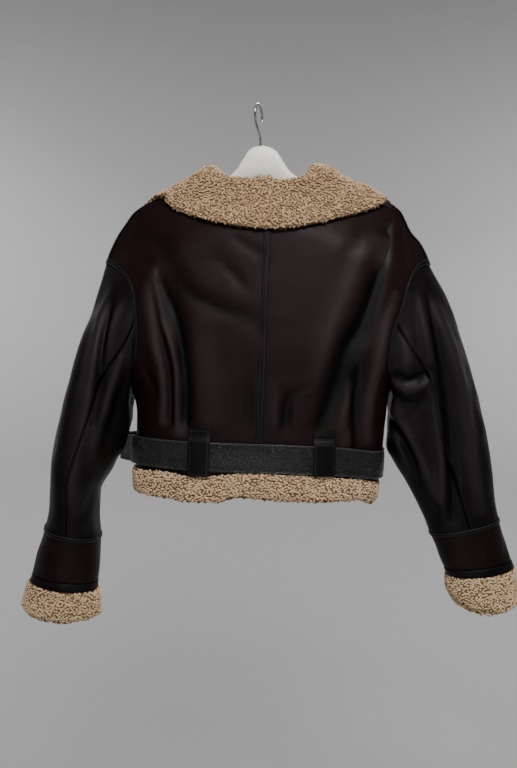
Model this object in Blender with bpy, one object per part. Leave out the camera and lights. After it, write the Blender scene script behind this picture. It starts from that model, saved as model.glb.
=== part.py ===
# Short leather jacket with curly pile collar, cuffs and hem, on its hanger.
# The jacket's back faces +Y, its front faces -Y and the wearer's left is +X.
# The origin is the inside top of the hanger's hook. Everything is in metres.
import math

import bmesh
import bpy
import numpy as np

OBJECT_NAME = "short_jacket_on_hanger"

# Cloth and trim thicknesses
LEATHER_WALL = 0.004        # leather skin and its pile lining together
TAPE_WALL = 0.0012
TAPE_INSET = 0.0008         # from the armhole's edge
BELT_WALL = 0.0026
LOOP_WALL = 0.0020
COLLAR_WALL = 0.0080
CUFF_FUR_WALL = (0.0110, 0.0110, 0.0110, 0.0060)    # from the leather down to the wrist
SEAM_GAP = 0.0003           # between pieces that are sewn together
LIE_GAP = 0.0003            # between a panel and what lies on it

# Where the garment hangs, sideways from the hook
GARMENT_X = -0.008

# Driving sizes
LEFT_NECK_Z = -0.117        # the neck seam where it meets the shoulder seams
RIGHT_NECK_Z = -0.110
NECK_MIDDLE_X = -0.012
NECK_BACK_Z = -0.150
NECK_FRONT_Z = -0.182
UNDERARM_Z = -0.455
LEFT_SHOULDER_Z = -0.268
RIGHT_SHOULDER_Z = -0.255
SQUARENESS = 2.6            # 2 is an ellipse, more is boxier
SHOULDER_FLATNESS = 0.55    # share of the depth right at the shoulder seam
SHOULDER_ROLL = 0.120       # the depth is whole this far below the seam
ARMHOLE_TAPE = 0.052        # share of a half panel's width
SHOULDER_TAPE = 0.020       # share of a half panel's height
BELT_WIDTH = 0.048
HOOK_RADIUS = 0.0185
HOOK_WIRE = 0.0019          # the wire's radius
HOOK_TWIST = 0.0060         # how far the hook's plane is turned out of edge-on

LEFT = 1
RIGHT = -1
BACK = 1
FRONT = -1


def table(columns, *rows):
    """Rows of numbers as named columns."""
    values = np.array(rows, dtype=float).T
    return dict(zip(columns.split(), values))


# Outline where front and back meet: shoulders, then virtual inside the sleeve, then sides
OUTLINE = table(
    "z left right",
    (-0.660, 0.204, -0.209),
    (-0.601, 0.205, -0.219),
    (-0.566, 0.204, -0.222),
    (-0.520, 0.204, -0.225),
    (-0.480, 0.212, -0.228),
    (-0.455, 0.222, -0.236),
    (-0.420, 0.240, -0.268),
    (-0.380, 0.252, -0.282),
    (-0.330, 0.261, -0.290),
    (-0.278, 0.2625, -0.292),
    (-0.262, 0.258, -0.291),
    (-0.240, 0.249, -0.283),
    (-0.220, 0.239, -0.272),
    (-0.200, 0.2255, -0.253),
    (-0.182, 0.213, -0.243),
    (-0.168, 0.193, -0.235),
    (-0.153, 0.161, -0.211),
    (-0.133, 0.115, -0.160),
    (-0.110, 0.062, -0.088),
    (-0.100, 0.036, -0.060),
)

# How far the back and the front stand out from the middle plane
DEPTH = table(
    "z back front",
    (-0.660, 0.089, 0.070),
    (-0.600, 0.087, 0.068),
    (-0.500, 0.084, 0.066),
    (-0.400, 0.081, 0.064),
    (-0.300, 0.076, 0.062),
    (-0.200, 0.070, 0.058),
    (-0.150, 0.064, 0.056),
    (-0.100, 0.060, 0.052),
)

# Lower edge of the leather, and the lower edge of the pile band below it
HEM = table(
    "x leather pile",
    (-0.230, -0.6255, -0.662),
    (-0.213, -0.624, -0.661),
    (-0.178, -0.613, -0.648),
    (-0.100, -0.605, -0.6465),
    (-0.031, -0.602, -0.644),
    (0.022, -0.6015, -0.641),
    (0.060, -0.608, -0.650),
    (0.106, -0.611, -0.652),
    (0.143, -0.607, -0.650),
    (0.204, -0.612, -0.651),
    (0.230, -0.613, -0.652),
)

# Armhole edges, from the shoulder point to the underarm
ARMHOLE = {
    LEFT: table(
        "x z",
        (0.2598, -0.268),
        (0.247, -0.272),
        (0.232, -0.280),
        (0.209, -0.303),
        (0.201, -0.340),
        (0.199, -0.385),
        (0.203, -0.425),
        (0.213, -0.447),
        (0.222, -0.455),
    ),
    RIGHT: table(
        "x z",
        (-0.2885, -0.255),
        (-0.272, -0.259),
        (-0.252, -0.275),
        (-0.241, -0.303),
        (-0.234, -0.335),
        (-0.223, -0.365),
        (-0.218, -0.400),
        (-0.220, -0.435),
        (-0.236, -0.455),
    ),
}

# Folds of the back and front: a ridge from one end to the other, or a valley if height < 0
BODY_FOLDS = table(
    "side x0 z0 x1 z1 width height",
    (BACK, 0.168, -0.290, 0.129, -0.430, 0.014, 0.005),
    (BACK, 0.129, -0.430, 0.124, -0.540, 0.012, 0.005),
    (BACK, 0.176, -0.315, 0.147, -0.520, 0.011, 0.004),
    (BACK, 0.150, -0.330, 0.112, -0.500, 0.012, -0.005),
    (BACK, 0.134, -0.200, 0.000, -0.370, 0.030, -0.003),
    (BACK, -0.190, -0.250, -0.128, -0.480, 0.020, -0.007),
    (BACK, -0.148, -0.480, -0.150, -0.550, 0.012, 0.004),
    (BACK, -0.178, -0.370, -0.186, -0.545, 0.013, 0.005),
    (BACK, -0.163, -0.440, -0.164, -0.560, 0.008, -0.004),
    (FRONT, 0.160, -0.300, 0.120, -0.540, 0.018, 0.005),
    (FRONT, 0.060, -0.320, 0.040, -0.560, 0.022, -0.004),
    (FRONT, -0.180, -0.290, -0.130, -0.540, 0.018, 0.005),
    (FRONT, -0.070, -0.330, -0.050, -0.560, 0.022, -0.004),
)

# Sleeve sections from the armhole down: outer edge, inner edge, half depth and middle y
SLEEVE = {
    LEFT: table(
        "ox oz ix iz depth y",
        (0.2598, -0.268, 0.222, -0.455, 0.056, 0.006),
        (0.281, -0.346, 0.215, -0.490, 0.057, 0.009),
        (0.297, -0.395, 0.2115, -0.527, 0.057, 0.012),
        (0.314, -0.460, 0.2195, -0.566, 0.059, 0.015),
        (0.331, -0.533, 0.241, -0.612, 0.062, 0.018),
        (0.3435, -0.610, 0.2635, -0.658, 0.062, 0.019),
        (0.3455, -0.672, 0.2645, -0.700, 0.055, 0.020),
        (0.3555, -0.720, 0.2615, -0.737, 0.049, 0.020),
        (0.371, -0.772, 0.263, -0.785, 0.043, 0.020),
        (0.381, -0.811, 0.267, -0.826, 0.040, 0.020),
    ),
    RIGHT: table(
        "ox oz ix iz depth y",
        (-0.2885, -0.255, -0.236, -0.455, 0.056, 0.004),
        (-0.3265, -0.320, -0.232, -0.490, 0.056, 0.004),
        (-0.353, -0.392, -0.2300, -0.525, 0.052, 0.003),
        (-0.3785, -0.463, -0.2290, -0.562, 0.046, 0.002),
        (-0.404, -0.551, -0.2460, -0.597, 0.040, 0.000),
        (-0.415, -0.605, -0.268, -0.630, 0.038, 0.000),
        (-0.4225, -0.655, -0.296, -0.680, 0.037, 0.000),
        (-0.432, -0.692, -0.315, -0.722, 0.036, 0.000),
        (-0.448, -0.737, -0.331, -0.757, 0.036, 0.000),
        (-0.462, -0.772, -0.347, -0.792, 0.036, 0.000),
    ),
}
CUFF_TOP_ROW = 7.0
BINDING_TOP_ROW = 8.62
CUFF_END_ROW = 9.0
BINDING_STANDS_OUT = 0.0008
SLEEVE_SECTORS = 24

# Turned-back pile at the wrist: the same columns, below the cuff
CUFF_FUR = {
    LEFT: table(
        "ox oz ix iz depth y",
        (0.3850, -0.8114, 0.2625, -0.8264, 0.045, 0.020),
        (0.3905, -0.830, 0.2585, -0.846, 0.047, 0.020),
        (0.3975, -0.854, 0.2590, -0.866, 0.048, 0.020),
        (0.3860, -0.869, 0.2680, -0.8765, 0.041, 0.020),
    ),
    RIGHT: table(
        "ox oz ix iz depth y",
        (-0.4656, -0.7722, -0.3434, -0.7932, 0.041, 0.000),
        (-0.4700, -0.799, -0.3455, -0.815, 0.043, 0.000),
        (-0.4750, -0.829, -0.3590, -0.838, 0.044, 0.000),
        (-0.4600, -0.845, -0.3770, -0.8525, 0.037, 0.000),
    ),
}

# Folds of the sleeves, in the same columns as the body's
SLEEVE_FOLDS = table(
    "side x0 z0 x1 z1 width height",
    (BACK, 0.233, -0.294, 0.280, -0.490, 0.014, 0.005),
    (BACK, 0.217, -0.321, 0.246, -0.403, 0.011, 0.004),
    (BACK, 0.260, -0.500, 0.285, -0.560, 0.012, -0.004),
    (BACK, 0.300, -0.560, 0.290, -0.700, 0.016, 0.004),
    (BACK, -0.222, -0.432, -0.262, -0.470, 0.012, 0.006),
    (BACK, -0.242, -0.480, -0.262, -0.540, 0.011, -0.006),
    (BACK, -0.270, -0.380, -0.325, -0.480, 0.018, 0.005),
    (BACK, -0.325, -0.480, -0.332, -0.600, 0.018, 0.005),
    (BACK, -0.285, -0.500, -0.320, -0.640, 0.012, -0.004),
    (BACK, -0.300, -0.520, -0.350, -0.690, 0.010, 0.004),
    (FRONT, 0.240, -0.330, 0.285, -0.520, 0.016, 0.005),
    (FRONT, -0.255, -0.380, -0.320, -0.560, 0.018, 0.005),
)

# Collar stations: turn round the neck seam, place of the outer edge, and how far it rolls over
COLLAR = table(
    "neck_turn edge_turn edge_z roll",
    (176.0, 163.0, -0.236, 0.3),
    (158.0, 150.0, -0.268, 0.4),
    (135.0, 131.0, -0.232, 0.6),
    (110.0, 110.0, -0.186, 0.9),
    (90.0, 90.0, -0.160, 1.0),
    (68.0, 66.0, -0.160, 0.9),
    (50.0, 51.5, -0.171, 0.6),
    (34.0, 37.5, -0.187, 0.35),
    (22.0, 27.0, -0.198, 0.15),
    (12.0, 16.6, -0.207, 0.0),
    (0.0, 1.0, -0.213, 0.0),
    (-7.0, -7.1, -0.2105, 0.0),
    (-17.0, -19.4, -0.201, 0.1),
    (-29.0, -30.1, -0.189, 0.25),
    (-43.0, -43.5, -0.175, 0.5),
    (-64.0, -63.0, -0.159, 0.85),
    (-90.0, -90.0, -0.150, 1.0),
    (-110.0, -110.0, -0.182, 0.9),
    (-135.0, -131.0, -0.230, 0.6),
    (-158.0, -150.0, -0.266, 0.4),
    (-176.0, -163.0, -0.236, 0.3),
)
COLLAR_STATIONS = 41

# Middle line of the collar's wall: distance along the panel from the neck seam, and height
# above the panel, where it stands up behind the neck and where it rolls over the shoulder
COLLAR_PROFILE = table(
    "back_along back_height side_along side_height",
    (-0.0020, -0.0020, -0.0056, 0.0000),
    (-0.0100, -0.0015, -0.0078, 0.0050),
    (-0.0190, 0.0000, -0.0062, 0.0105),
    (-0.0255, 0.0050, 0.0005, 0.0145),
    (-0.0225, 0.0110, 0.0120, 0.0162),
    (-0.0120, 0.0135, 0.0250, 0.0155),
    (0.0020, 0.0120, 0.0390, 0.0125),
)
COLLAR_FALL_HEIGHT = 0.0074
COLLAR_FALL_STEPS = 3
COLLAR_EDGE_SHARE = 0.6     # of the wall, left at the collar's outer edge

# The belt's slack on the left, where it bows away from the body: plan places and height
BELT_SLACK = table(
    "x y z",
    (0.1600, -0.0800, -0.586),
    (0.2000, -0.0880, -0.589),
    (0.2350, -0.0820, -0.590),
    (0.2470, -0.0670, -0.590),
    (0.2340, -0.0520, -0.590),
    (0.2170, -0.0320, -0.588),
    (0.2110, -0.0120, -0.584),
    (0.2105, 0.0090, -0.581),
)
BELT_LEVEL = table("turn z", (-180.0, -0.5765), (-150.0, -0.579), (-120.0, -0.588),
                   (-75.0, -0.5925), (-30.0, -0.579), (0.0, -0.5765), (45.0, -0.577),
                   (90.0, -0.580), (135.0, -0.584), (180.0, -0.5765))
BELT_STANDOFF = 0.0028
BELT_SECTIONS = 110
BELT_END_X = 0.008          # the buckle end of the belt, under the frame

# The belt's free end in front: how far its middle is above the leather along X
BELT_TIP = table(
    "x height",
    (-0.036, 0.0041),
    (-0.012, 0.0044),
    (0.000, 0.0074),
    (0.011, 0.0121),
    (0.021, 0.0134),
    (0.030, 0.0125),
    (0.044, 0.0088),
    (0.060, 0.0074),
    (0.126, 0.0074),
)
BUCKLE_WIRE = 0.0023
BUCKLE_HALF_X = 0.021
BUCKLE_HALF_Z = 0.0275
BUCKLE_HEIGHT = 0.0081      # middle of the frame above the leather
LOOP_WIDTH = 0.035
BACK_LOOPS = {"back_left": 0.088, "back_right": -0.112}
FRONT_LOOPS = {"front_left": 0.100, "front_right": -0.110}

# Hanger sections along X: top, bottom and half thickness
HANGER_SIDES = 14
HANGER = table(
    "x top bottom half",
    (-0.2080, -0.1640, -0.1760, 0.0030),
    (-0.2000, -0.1565, -0.1760, 0.0060),
    (-0.1600, -0.1405, -0.1625, 0.0065),
    (-0.1200, -0.1270, -0.1520, 0.0065),
    (-0.0880, -0.1165, -0.1430, 0.0065),
    (-0.0640, -0.1140, -0.1330, 0.0065),
    (-0.0480, -0.1000, -0.1260, 0.0065),
    (-0.0340, -0.0790, -0.1185, 0.0065),
    (-0.0220, -0.0690, -0.1130, 0.0065),
    (0.0020, -0.0650, -0.1065, 0.0065),
    (0.0220, -0.0690, -0.1130, 0.0065),
    (0.0320, -0.0780, -0.1175, 0.0065),
    (0.0440, -0.1000, -0.1250, 0.0065),
    (0.0600, -0.1180, -0.1335, 0.0065),
    (0.0900, -0.1300, -0.1445, 0.0065),
    (0.1300, -0.1470, -0.1650, 0.0065),
    (0.1650, -0.1640, -0.1830, 0.0060),
    (0.1740, -0.1730, -0.1840, 0.0030),
)

COLOURS = {
    "leather": ((0.030, 0.014, 0.015, 1.0), 0.42, 0.0),
    "trim": ((0.012, 0.011, 0.013, 1.0), 0.35, 0.0),
    "pile": ((0.520, 0.360, 0.210, 1.0), 0.95, 0.0),
    "hanger": ((0.750, 0.720, 0.680, 1.0), 0.40, 0.0),
    "steel": ((0.560, 0.560, 0.570, 1.0), 0.25, 1.0),
}


# Curves through tables

def through(at, xs, ys):
    """Smooth curve through rows, without overshoot, read at one or many places."""
    xs, ys = np.asarray(xs, float), np.asarray(ys, float)
    if xs[0] > xs[-1]:
        xs, ys = xs[::-1], ys[::-1]
    step = np.diff(xs)
    slope = np.diff(ys) / step
    tangent = np.zeros_like(ys)
    tangent[0], tangent[-1] = slope[0], slope[-1]
    same = slope[:-1] * slope[1:] > 0
    mean = 2 * slope[:-1] * slope[1:] / np.where(same, slope[:-1] + slope[1:], 1)
    tangent[1:-1] = np.where(same, mean, 0)
    at = np.clip(np.asarray(at, float), xs[0], xs[-1])
    cell = np.clip(np.searchsorted(xs, at) - 1, 0, len(step) - 1)
    part = (at - xs[cell]) / step[cell]
    a, b = ys[cell], ys[cell + 1]
    ta, tb = tangent[cell] * step[cell], tangent[cell + 1] * step[cell]
    return (a * (1 + 2 * part) * (1 - part) ** 2 + ta * part * (1 - part) ** 2
            + b * part ** 2 * (3 - 2 * part) + tb * part ** 2 * (part - 1))


def read(rows, key, column, at):
    """One named column of a table at any value of another."""
    return through(at, rows[key], rows[column])


def ease(value):
    """0 to 1 with soft ends."""
    value = np.clip(value, 0, 1)
    return value * value * (3 - 2 * value)


def unit(vectors):
    return vectors / np.maximum(np.linalg.norm(vectors, axis=-1, keepdims=True), 1e-12)


# The body as one surface: turn is 0 at the centre back, 90 at the left side, 180 in front

def middle_and_half(z):
    left, right = read(OUTLINE, "z", "left", z), read(OUTLINE, "z", "right", z)
    return (left + right) / 2, (left - right) / 2


def shoulder_height(x):
    """Height of the shoulder seam above a place x."""
    shoulder = OUTLINE["z"] > -0.270
    z = OUTLINE["z"][shoulder]
    left = through(np.abs(x), OUTLINE["left"][shoulder], z)
    right = through(np.abs(x), -OUTLINE["right"][shoulder], z)
    return np.where(x > 0, left, right)


def body_depth(x, z, side):
    """Half thickness of the body, less near the shoulder seam."""
    whole = np.where(side > 0, read(DEPTH, "z", "back", z), read(DEPTH, "z", "front", z))
    below = ease((shoulder_height(x) - z) / SHOULDER_ROLL)
    return whole * (SHOULDER_FLATNESS + (1 - SHOULDER_FLATNESS) * below)


def fold_height(folds, x, z, side):
    """Sum of the folds at a place, each fading to its sides and ends."""
    total = np.zeros(np.broadcast(x, z).shape)
    for k in range(len(folds["side"])):
        a = np.array([folds["x0"][k], folds["z0"][k]])
        run = np.array([folds["x1"][k], folds["z1"][k]]) - a
        along = np.clip(((x - a[0]) * run[0] + (z - a[1]) * run[1]) / (run @ run), 0, 1)
        away = np.hypot(x - a[0] - along * run[0], z - a[1] - along * run[1])
        ridge = folds["height"][k] * np.exp(-(away / folds["width"][k]) ** 2)
        total = total + np.where(side == folds["side"][k], ridge, 0)
    return total


def body_surface(turn, z, lift=0.0):
    """Points and outward normals of the body's outer surface, moved out by lift."""
    turn, z = np.broadcast_arrays(np.radians(turn), z)
    middle, half = middle_and_half(z)
    across, cosine = np.sin(turn), np.cos(turn)
    side = np.where(cosine >= 0, BACK, FRONT)
    x = middle + half * across
    bulge = np.sqrt(np.maximum(1 - np.abs(across) ** SQUARENESS, 0))
    y = side * bulge * body_depth(x, z, side)

    def level(px, pz):
        mid, wide = middle_and_half(pz)
        deep = body_depth(px, pz, side)
        return (y / deep) ** 2 + np.abs((px - mid) / wide) ** SQUARENESS

    tiny = 0.0004
    normal = np.stack([(level(x + tiny, z) - level(x - tiny, z)) / (2 * tiny),
                       2 * y / body_depth(x, z, side) ** 2,
                       (level(x, z + tiny) - level(x, z - tiny)) / (2 * tiny)], axis=-1)
    normal = unit(normal)
    guard = ease(np.abs(cosine) / 0.45)
    height = fold_height(BODY_FOLDS, x, z, side) * guard
    points = np.stack([x, y, z], axis=-1) + normal * (height + lift)[..., None]
    return points, normal


def turn_at(x, z):
    """The turn, on the back, of a place seen from behind."""
    middle, half = middle_and_half(z)
    return np.degrees(np.arcsin(np.clip((x - middle) / half, -1, 1)))


def x_at(turn, z):
    middle, half = middle_and_half(z)
    return middle + half * np.sin(np.radians(turn))


# Solids from grids of points

def material(name):
    colour, roughness, metallic = COLOURS[name]
    found = bpy.data.materials.get(name)
    if found:
        return found
    made = bpy.data.materials.new(name)
    made.use_nodes = True
    shader = made.node_tree.nodes["Principled BSDF"]
    shader.inputs["Base Color"].default_value = colour
    shader.inputs["Roughness"].default_value = roughness
    shader.inputs["Metallic"].default_value = metallic
    made.diffuse_color = colour
    return made


def add_object(name, mesh, finish, offset_x=GARMENT_X):
    made = bpy.data.objects.new(name, mesh)
    made.location.x = offset_x
    mesh.materials.append(material(finish))
    bpy.data.collections[OBJECT_NAME].objects.link(made)
    mesh.shade_smooth()
    mesh.set_sharp_from_angle(angle=math.radians(40))
    return made


def facing_out(name, made):
    """The finished mesh, turned right side out."""
    if made.calc_volume(signed=True) < 0:
        bmesh.ops.reverse_faces(made, faces=made.faces)
    mesh = bpy.data.meshes.new(name)
    made.to_mesh(mesh)
    made.free()
    return mesh


def closed_loft(name, sections, finish, ring=False, offset_x=GARMENT_X):
    """A solid through closed sections, all with the same number of points."""
    made = bmesh.new()
    rows = [[made.verts.new(point) for point in section] for section in sections]
    count = len(rows[0])
    pairs = list(zip(rows, rows[1:] + rows[:1])) if ring else list(zip(rows, rows[1:]))
    for low, high in pairs:
        for k in range(count):
            n = (k + 1) % count
            made.faces.new((low[k], low[n], high[n]))
            made.faces.new((low[k], high[n], high[k]))
    if not ring:
        made.faces.new(rows[0][::-1])
        made.faces.new(rows[-1])
        bmesh.ops.triangulate(made, faces=[f for f in made.faces if len(f.verts) > 4])
    return add_object(name, facing_out(name, made), finish, offset_x)


def pulled_in(grid, edges, distance):
    """The grid with some of its edges drawn back along the surface."""
    grid = grid.copy()
    for edge in edges:
        view = {"first_row": grid, "last_row": grid[::-1], "first_column": grid.swapaxes(0, 1),
                "last_column": grid.swapaxes(0, 1)[::-1]}[edge]
        view[0] += unit(view[1] - view[0]) * distance
    return grid


def wall(name, outer, inner, finish, tube=False, gaps=(), turned=None):
    """A closed wall between two grids of points; a tube's columns close round.

    Cells are cut from their first corner, or from the next one where turned says so."""
    outer = pulled_in(outer, gaps, SEAM_GAP / 2)
    inner = pulled_in(inner, gaps, SEAM_GAP / 2)
    rows, columns = outer.shape[:2]
    made = bmesh.new()
    out = [[made.verts.new(p) for p in row] for row in outer]
    into = [[made.verts.new(p) for p in row] for row in inner]

    def patch(a, b, c, d):
        made.faces.new((a, b, c))
        made.faces.new((a, c, d))

    for r in range(rows - 1):
        for c in range(columns if tube else columns - 1):
            n = (c + 1) % columns
            if turned is not None and turned[r, c]:
                patch(out[r][n], out[r + 1][n], out[r + 1][c], out[r][c])
                patch(into[r][n], into[r][c], into[r + 1][c], into[r + 1][n])
            else:
                patch(out[r][c], out[r][n], out[r + 1][n], out[r + 1][c])
                patch(into[r][c], into[r + 1][c], into[r + 1][n], into[r][n])
    for c in range(columns if tube else columns - 1):
        n = (c + 1) % columns
        patch(into[0][c], into[0][n], out[0][n], out[0][c])
        patch(out[-1][c], out[-1][n], into[-1][n], into[-1][c])
    if not tube:
        for r in range(rows - 1):
            patch(out[r][0], out[r + 1][0], into[r + 1][0], into[r][0])
            patch(into[r][-1], into[r + 1][-1], out[r + 1][-1], out[r][-1])
    return add_object(name, facing_out(name, made), finish)


# Front and back panels

ARMHOLE_ROWS = 12
SIDE_ROWS = 6
NECK_SHARE = 0.36           # of the columns, the share that ends at the neck
PANEL_COLUMNS = (0.0, 0.014, 0.12, 0.24, NECK_SHARE, 0.48, 0.60, 0.72, 0.84, 1 - ARMHOLE_TAPE, 1)


def armhole_edge(hand, share):
    """Turn and height on the armhole's edge, from the shoulder point to the underarm."""
    rows = ARMHOLE[hand]
    lengths = np.hypot(np.diff(rows["x"]), np.diff(rows["z"]))
    at = np.concatenate([[0], np.cumsum(lengths)]) / lengths.sum()
    fine = np.linspace(0, 1, 121)
    fine_x, fine_z = through(fine, at, rows["x"]), through(fine, at, rows["z"])
    fine_points, _ = body_surface(turn_at(fine_x, fine_z), fine_z)
    steps = np.linalg.norm(np.diff(fine_points, axis=0), axis=1)
    walked = np.concatenate([[0], np.cumsum(steps)]) / steps.sum()
    x, z = np.interp(share, walked, fine_x), np.interp(share, walked, fine_z)
    turn = turn_at(x, z)
    turn = np.where(np.asarray(share) < 1e-6, 90.0 * hand, turn)
    turn = np.where(np.asarray(share) > 1 - 1e-6, 90.0 * hand, turn)
    return turn, z


def neck_seam(turn):
    """Turn and height on the body of a place on the neck seam: 0 is the centre back."""
    sine, cosine = np.sin(np.radians(turn)), np.cos(np.radians(turn))
    side_z = np.where(sine > 0, LEFT_NECK_Z, RIGHT_NECK_Z)
    side_x = np.where(sine > 0, read(OUTLINE, "z", "left", LEFT_NECK_Z),
                      read(OUTLINE, "z", "right", RIGHT_NECK_Z))
    low = np.where(cosine > 0, NECK_BACK_Z, NECK_FRONT_Z)
    z = side_z + (low - side_z) * np.abs(cosine) ** 1.3
    x = NECK_MIDDLE_X + (side_x - NECK_MIDDLE_X) * np.abs(sine)
    on_back = np.where(np.abs(cosine) < 1e-6, np.sign(sine) * 90.0, turn_at(x, z))
    return np.where(cosine > 0, on_back, np.sign(sine) * 180.0 - on_back), z


def panel_places(hand, side, columns, shares):
    """Turns and heights of a half panel's grid: rows from the hem up, columns outwards."""
    columns = np.asarray(columns)
    shoulder_z = LEFT_SHOULDER_Z if hand == LEFT else RIGHT_SHOULDER_Z
    side_top = SIDE_ROWS / (SIDE_ROWS + ARMHOLE_ROWS)
    rows = np.asarray(shares)

    hem_turn = 90.0 * columns
    hem_z = read(HEM, "x", "leather", x_at(hem_turn * hand, -0.61))
    round_neck = 90.0 * np.clip(columns / NECK_SHARE, 1e-4, 1)
    round_neck = round_neck if side > 0 else 180.0 - round_neck
    neck_turn, neck_z = neck_seam(round_neck * hand)
    neck_turn = neck_turn * hand if side > 0 else 180.0 - neck_turn * hand
    down = np.clip((columns - NECK_SHARE) / (1 - NECK_SHARE), 0, 1)
    top_turn = np.where(columns < NECK_SHARE, neck_turn, 90.0)
    top_z = np.where(columns < NECK_SHARE, neck_z, neck_z[-1] + (shoulder_z - neck_z[-1]) * down)
    centre_x = x_at(0.0, hem_z[0]) + (NECK_MIDDLE_X - x_at(0.0, hem_z[0])) * rows
    centre_z = hem_z[0] + (top_z[0] - hem_z[0]) * rows
    centre_turn = turn_at(centre_x, centre_z) * hand
    top_turn[0], hem_turn[0] = centre_turn[-1], centre_turn[0]
    up = np.clip((rows - side_top) / (1 - side_top), 0, 1)
    edge_turn, edge_z = armhole_edge(hand, 1 - up)
    edge_turn = np.where(rows <= side_top + 1e-6, 90.0, np.abs(edge_turn))
    low = rows / side_top
    edge_z = np.where(rows <= side_top, hem_z[-1] + (UNDERARM_Z - hem_z[-1]) * low, edge_z)

    def blend(first, last, bottom, top):
        s, t = columns[None, :], rows[:, None]
        bottom_bend = bottom - (bottom[0] + (bottom[-1] - bottom[0]) * columns)
        top_bend = top - (top[0] + (top[-1] - top[0]) * columns)
        return ((1 - s) * first[:, None] + s * last[:, None]
                + (1 - t) ** 3 * bottom_bend + t ** 3 * top_bend)

    turn = blend(centre_turn, edge_turn, hem_turn, top_turn)
    z = blend(centre_z, edge_z, hem_z, top_z)
    turn = turn if side > 0 else 180.0 - turn
    return turn * hand, z


def panel_rows():
    count = SIDE_ROWS + ARMHOLE_ROWS
    return [k / count for k in range(count)] + [1 - SHOULDER_TAPE, 1.0]


def panel_grid(hand, side, lift=0.0):
    turn, z = panel_places(hand, side, PANEL_COLUMNS, panel_rows())
    return body_surface(turn, z, lift)


def make_panels():
    for side, word in ((BACK, "back"), (FRONT, "front")):
        for hand, which in ((LEFT, "left"), (RIGHT, "right")):
            points, normals = panel_grid(hand, side)
            wall(f"{word}_{which}", points, points - normals * LEATHER_WALL, "leather",
                 gaps=("first_row", "last_row", "first_column", "last_column"))


# Tapes that cover the seams

def tape(name, points, normals, turned, gaps=("first_row", "last_row")):
    """A thin strip on the panels' own points, its cells cut as theirs are."""
    low = points + normals * LIE_GAP
    wall(name, low + normals * TAPE_WALL, low, "trim", gaps=gaps, turned=turned)


TAPE_ROWS = 10              # of the panel's rows, down from the shoulder


def make_tapes():
    """Over the centre back, round the armholes' upper parts and along the shoulders."""
    grids = {(h, s): panel_grid(h, s) for h in (LEFT, RIGHT) for s in (BACK, FRONT)}
    left, right = grids[LEFT, BACK], grids[RIGHT, BACK]
    centre = [np.stack([a[:, 1], a[:, 0], b[:, 1]], axis=1) for a, b in zip(left, right)]
    rows = len(centre[0]) - 1
    tape("centre_back_tape", *centre, np.tile([True, False], (rows, 1)))
    last = len(PANEL_COLUMNS) - 1
    shoulder_row = len(panel_rows()) - 1
    neck_column = PANEL_COLUMNS.index(NECK_SHARE)
    down_to = shoulder_row - TAPE_ROWS
    for hand, which in ((LEFT, "left"), (RIGHT, "right")):
        back, front = grids[hand, BACK], grids[hand, FRONT]
        over = []
        for b, f in zip(back, front):
            up = b[down_to:, last - 1:last + 1]
            down = f[down_to:shoulder_row, last - 1:last + 1][::-1]
            over.append(np.concatenate([up, down]))
        reversed_rows = np.arange(len(over[0]) - 1) >= shoulder_row - down_to
        over[0] = pulled_in(over[0], ("last_column",), TAPE_INSET)
        tape(f"armhole_tape_{which}", *over, reversed_rows[:, None])
        along = []
        for b, f in zip(back, front):
            cells = slice(neck_column, last)
            along.append(np.stack([b[shoulder_row - 1, cells], b[shoulder_row, cells],
                                   f[shoulder_row - 1, cells]], axis=1))
        cells = len(along[0]) - 1
        tape(f"shoulder_tape_{which}", *along, np.tile([False, True], (cells, 1)),
             gaps=("first_row", "last_row", "last_row"))


# Sleeves

def section(rows, at, angle):
    """A point on a sleeve section: angle 0 is the outer edge, 180 the inner edge."""
    numbers = np.arange(len(rows["ox"]))
    value = {key: through(at, numbers, rows[key]) for key in rows}
    middle_x, middle_z = (value["ox"] + value["ix"]) / 2, (value["oz"] + value["iz"]) / 2
    half_x, half_z = (value["ox"] - value["ix"]) / 2, (value["oz"] - value["iz"]) / 2
    sine, cosine = np.sin(np.radians(angle)), np.cos(np.radians(angle))
    return np.stack([middle_x + half_x * cosine, value["y"] + value["depth"] * sine,
                     middle_z + half_z * cosine], axis=-1)


def grid_normals(grid):
    """Outward normals of a tube's grid, from its neighbours all round."""
    along = np.gradient(grid, axis=0)
    around = np.roll(grid, -1, axis=1) - np.roll(grid, 1, axis=1)
    normal = unit(np.cross(around, along))
    centre = grid.mean(axis=1, keepdims=True)
    outward = np.sum(normal * (grid - centre), axis=(1, 2), keepdims=True)
    return normal * np.sign(outward)


def armhole_ring(hand):
    """Points and normals round the armhole in the sleeve's own order."""
    half = SLEEVE_SECTORS // 2
    shares = np.arange(half + 1) / half
    turn, z = armhole_edge(hand, shares)
    turn = np.abs(turn)
    back, back_normal = body_surface(turn * hand, z)
    front, front_normal = body_surface((180.0 - turn) * hand, z)
    ring = np.concatenate([back, front[1:-1][::-1]])
    normal = np.concatenate([back_normal, front_normal[1:-1][::-1]])
    return ring, normal


UNDERARM_ROOM = 0.0012      # added to the margins where the sleeve turns down
TAPE_ROOM = 0.0040          # above the panel where the sleeve hangs over the armhole's tape


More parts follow.
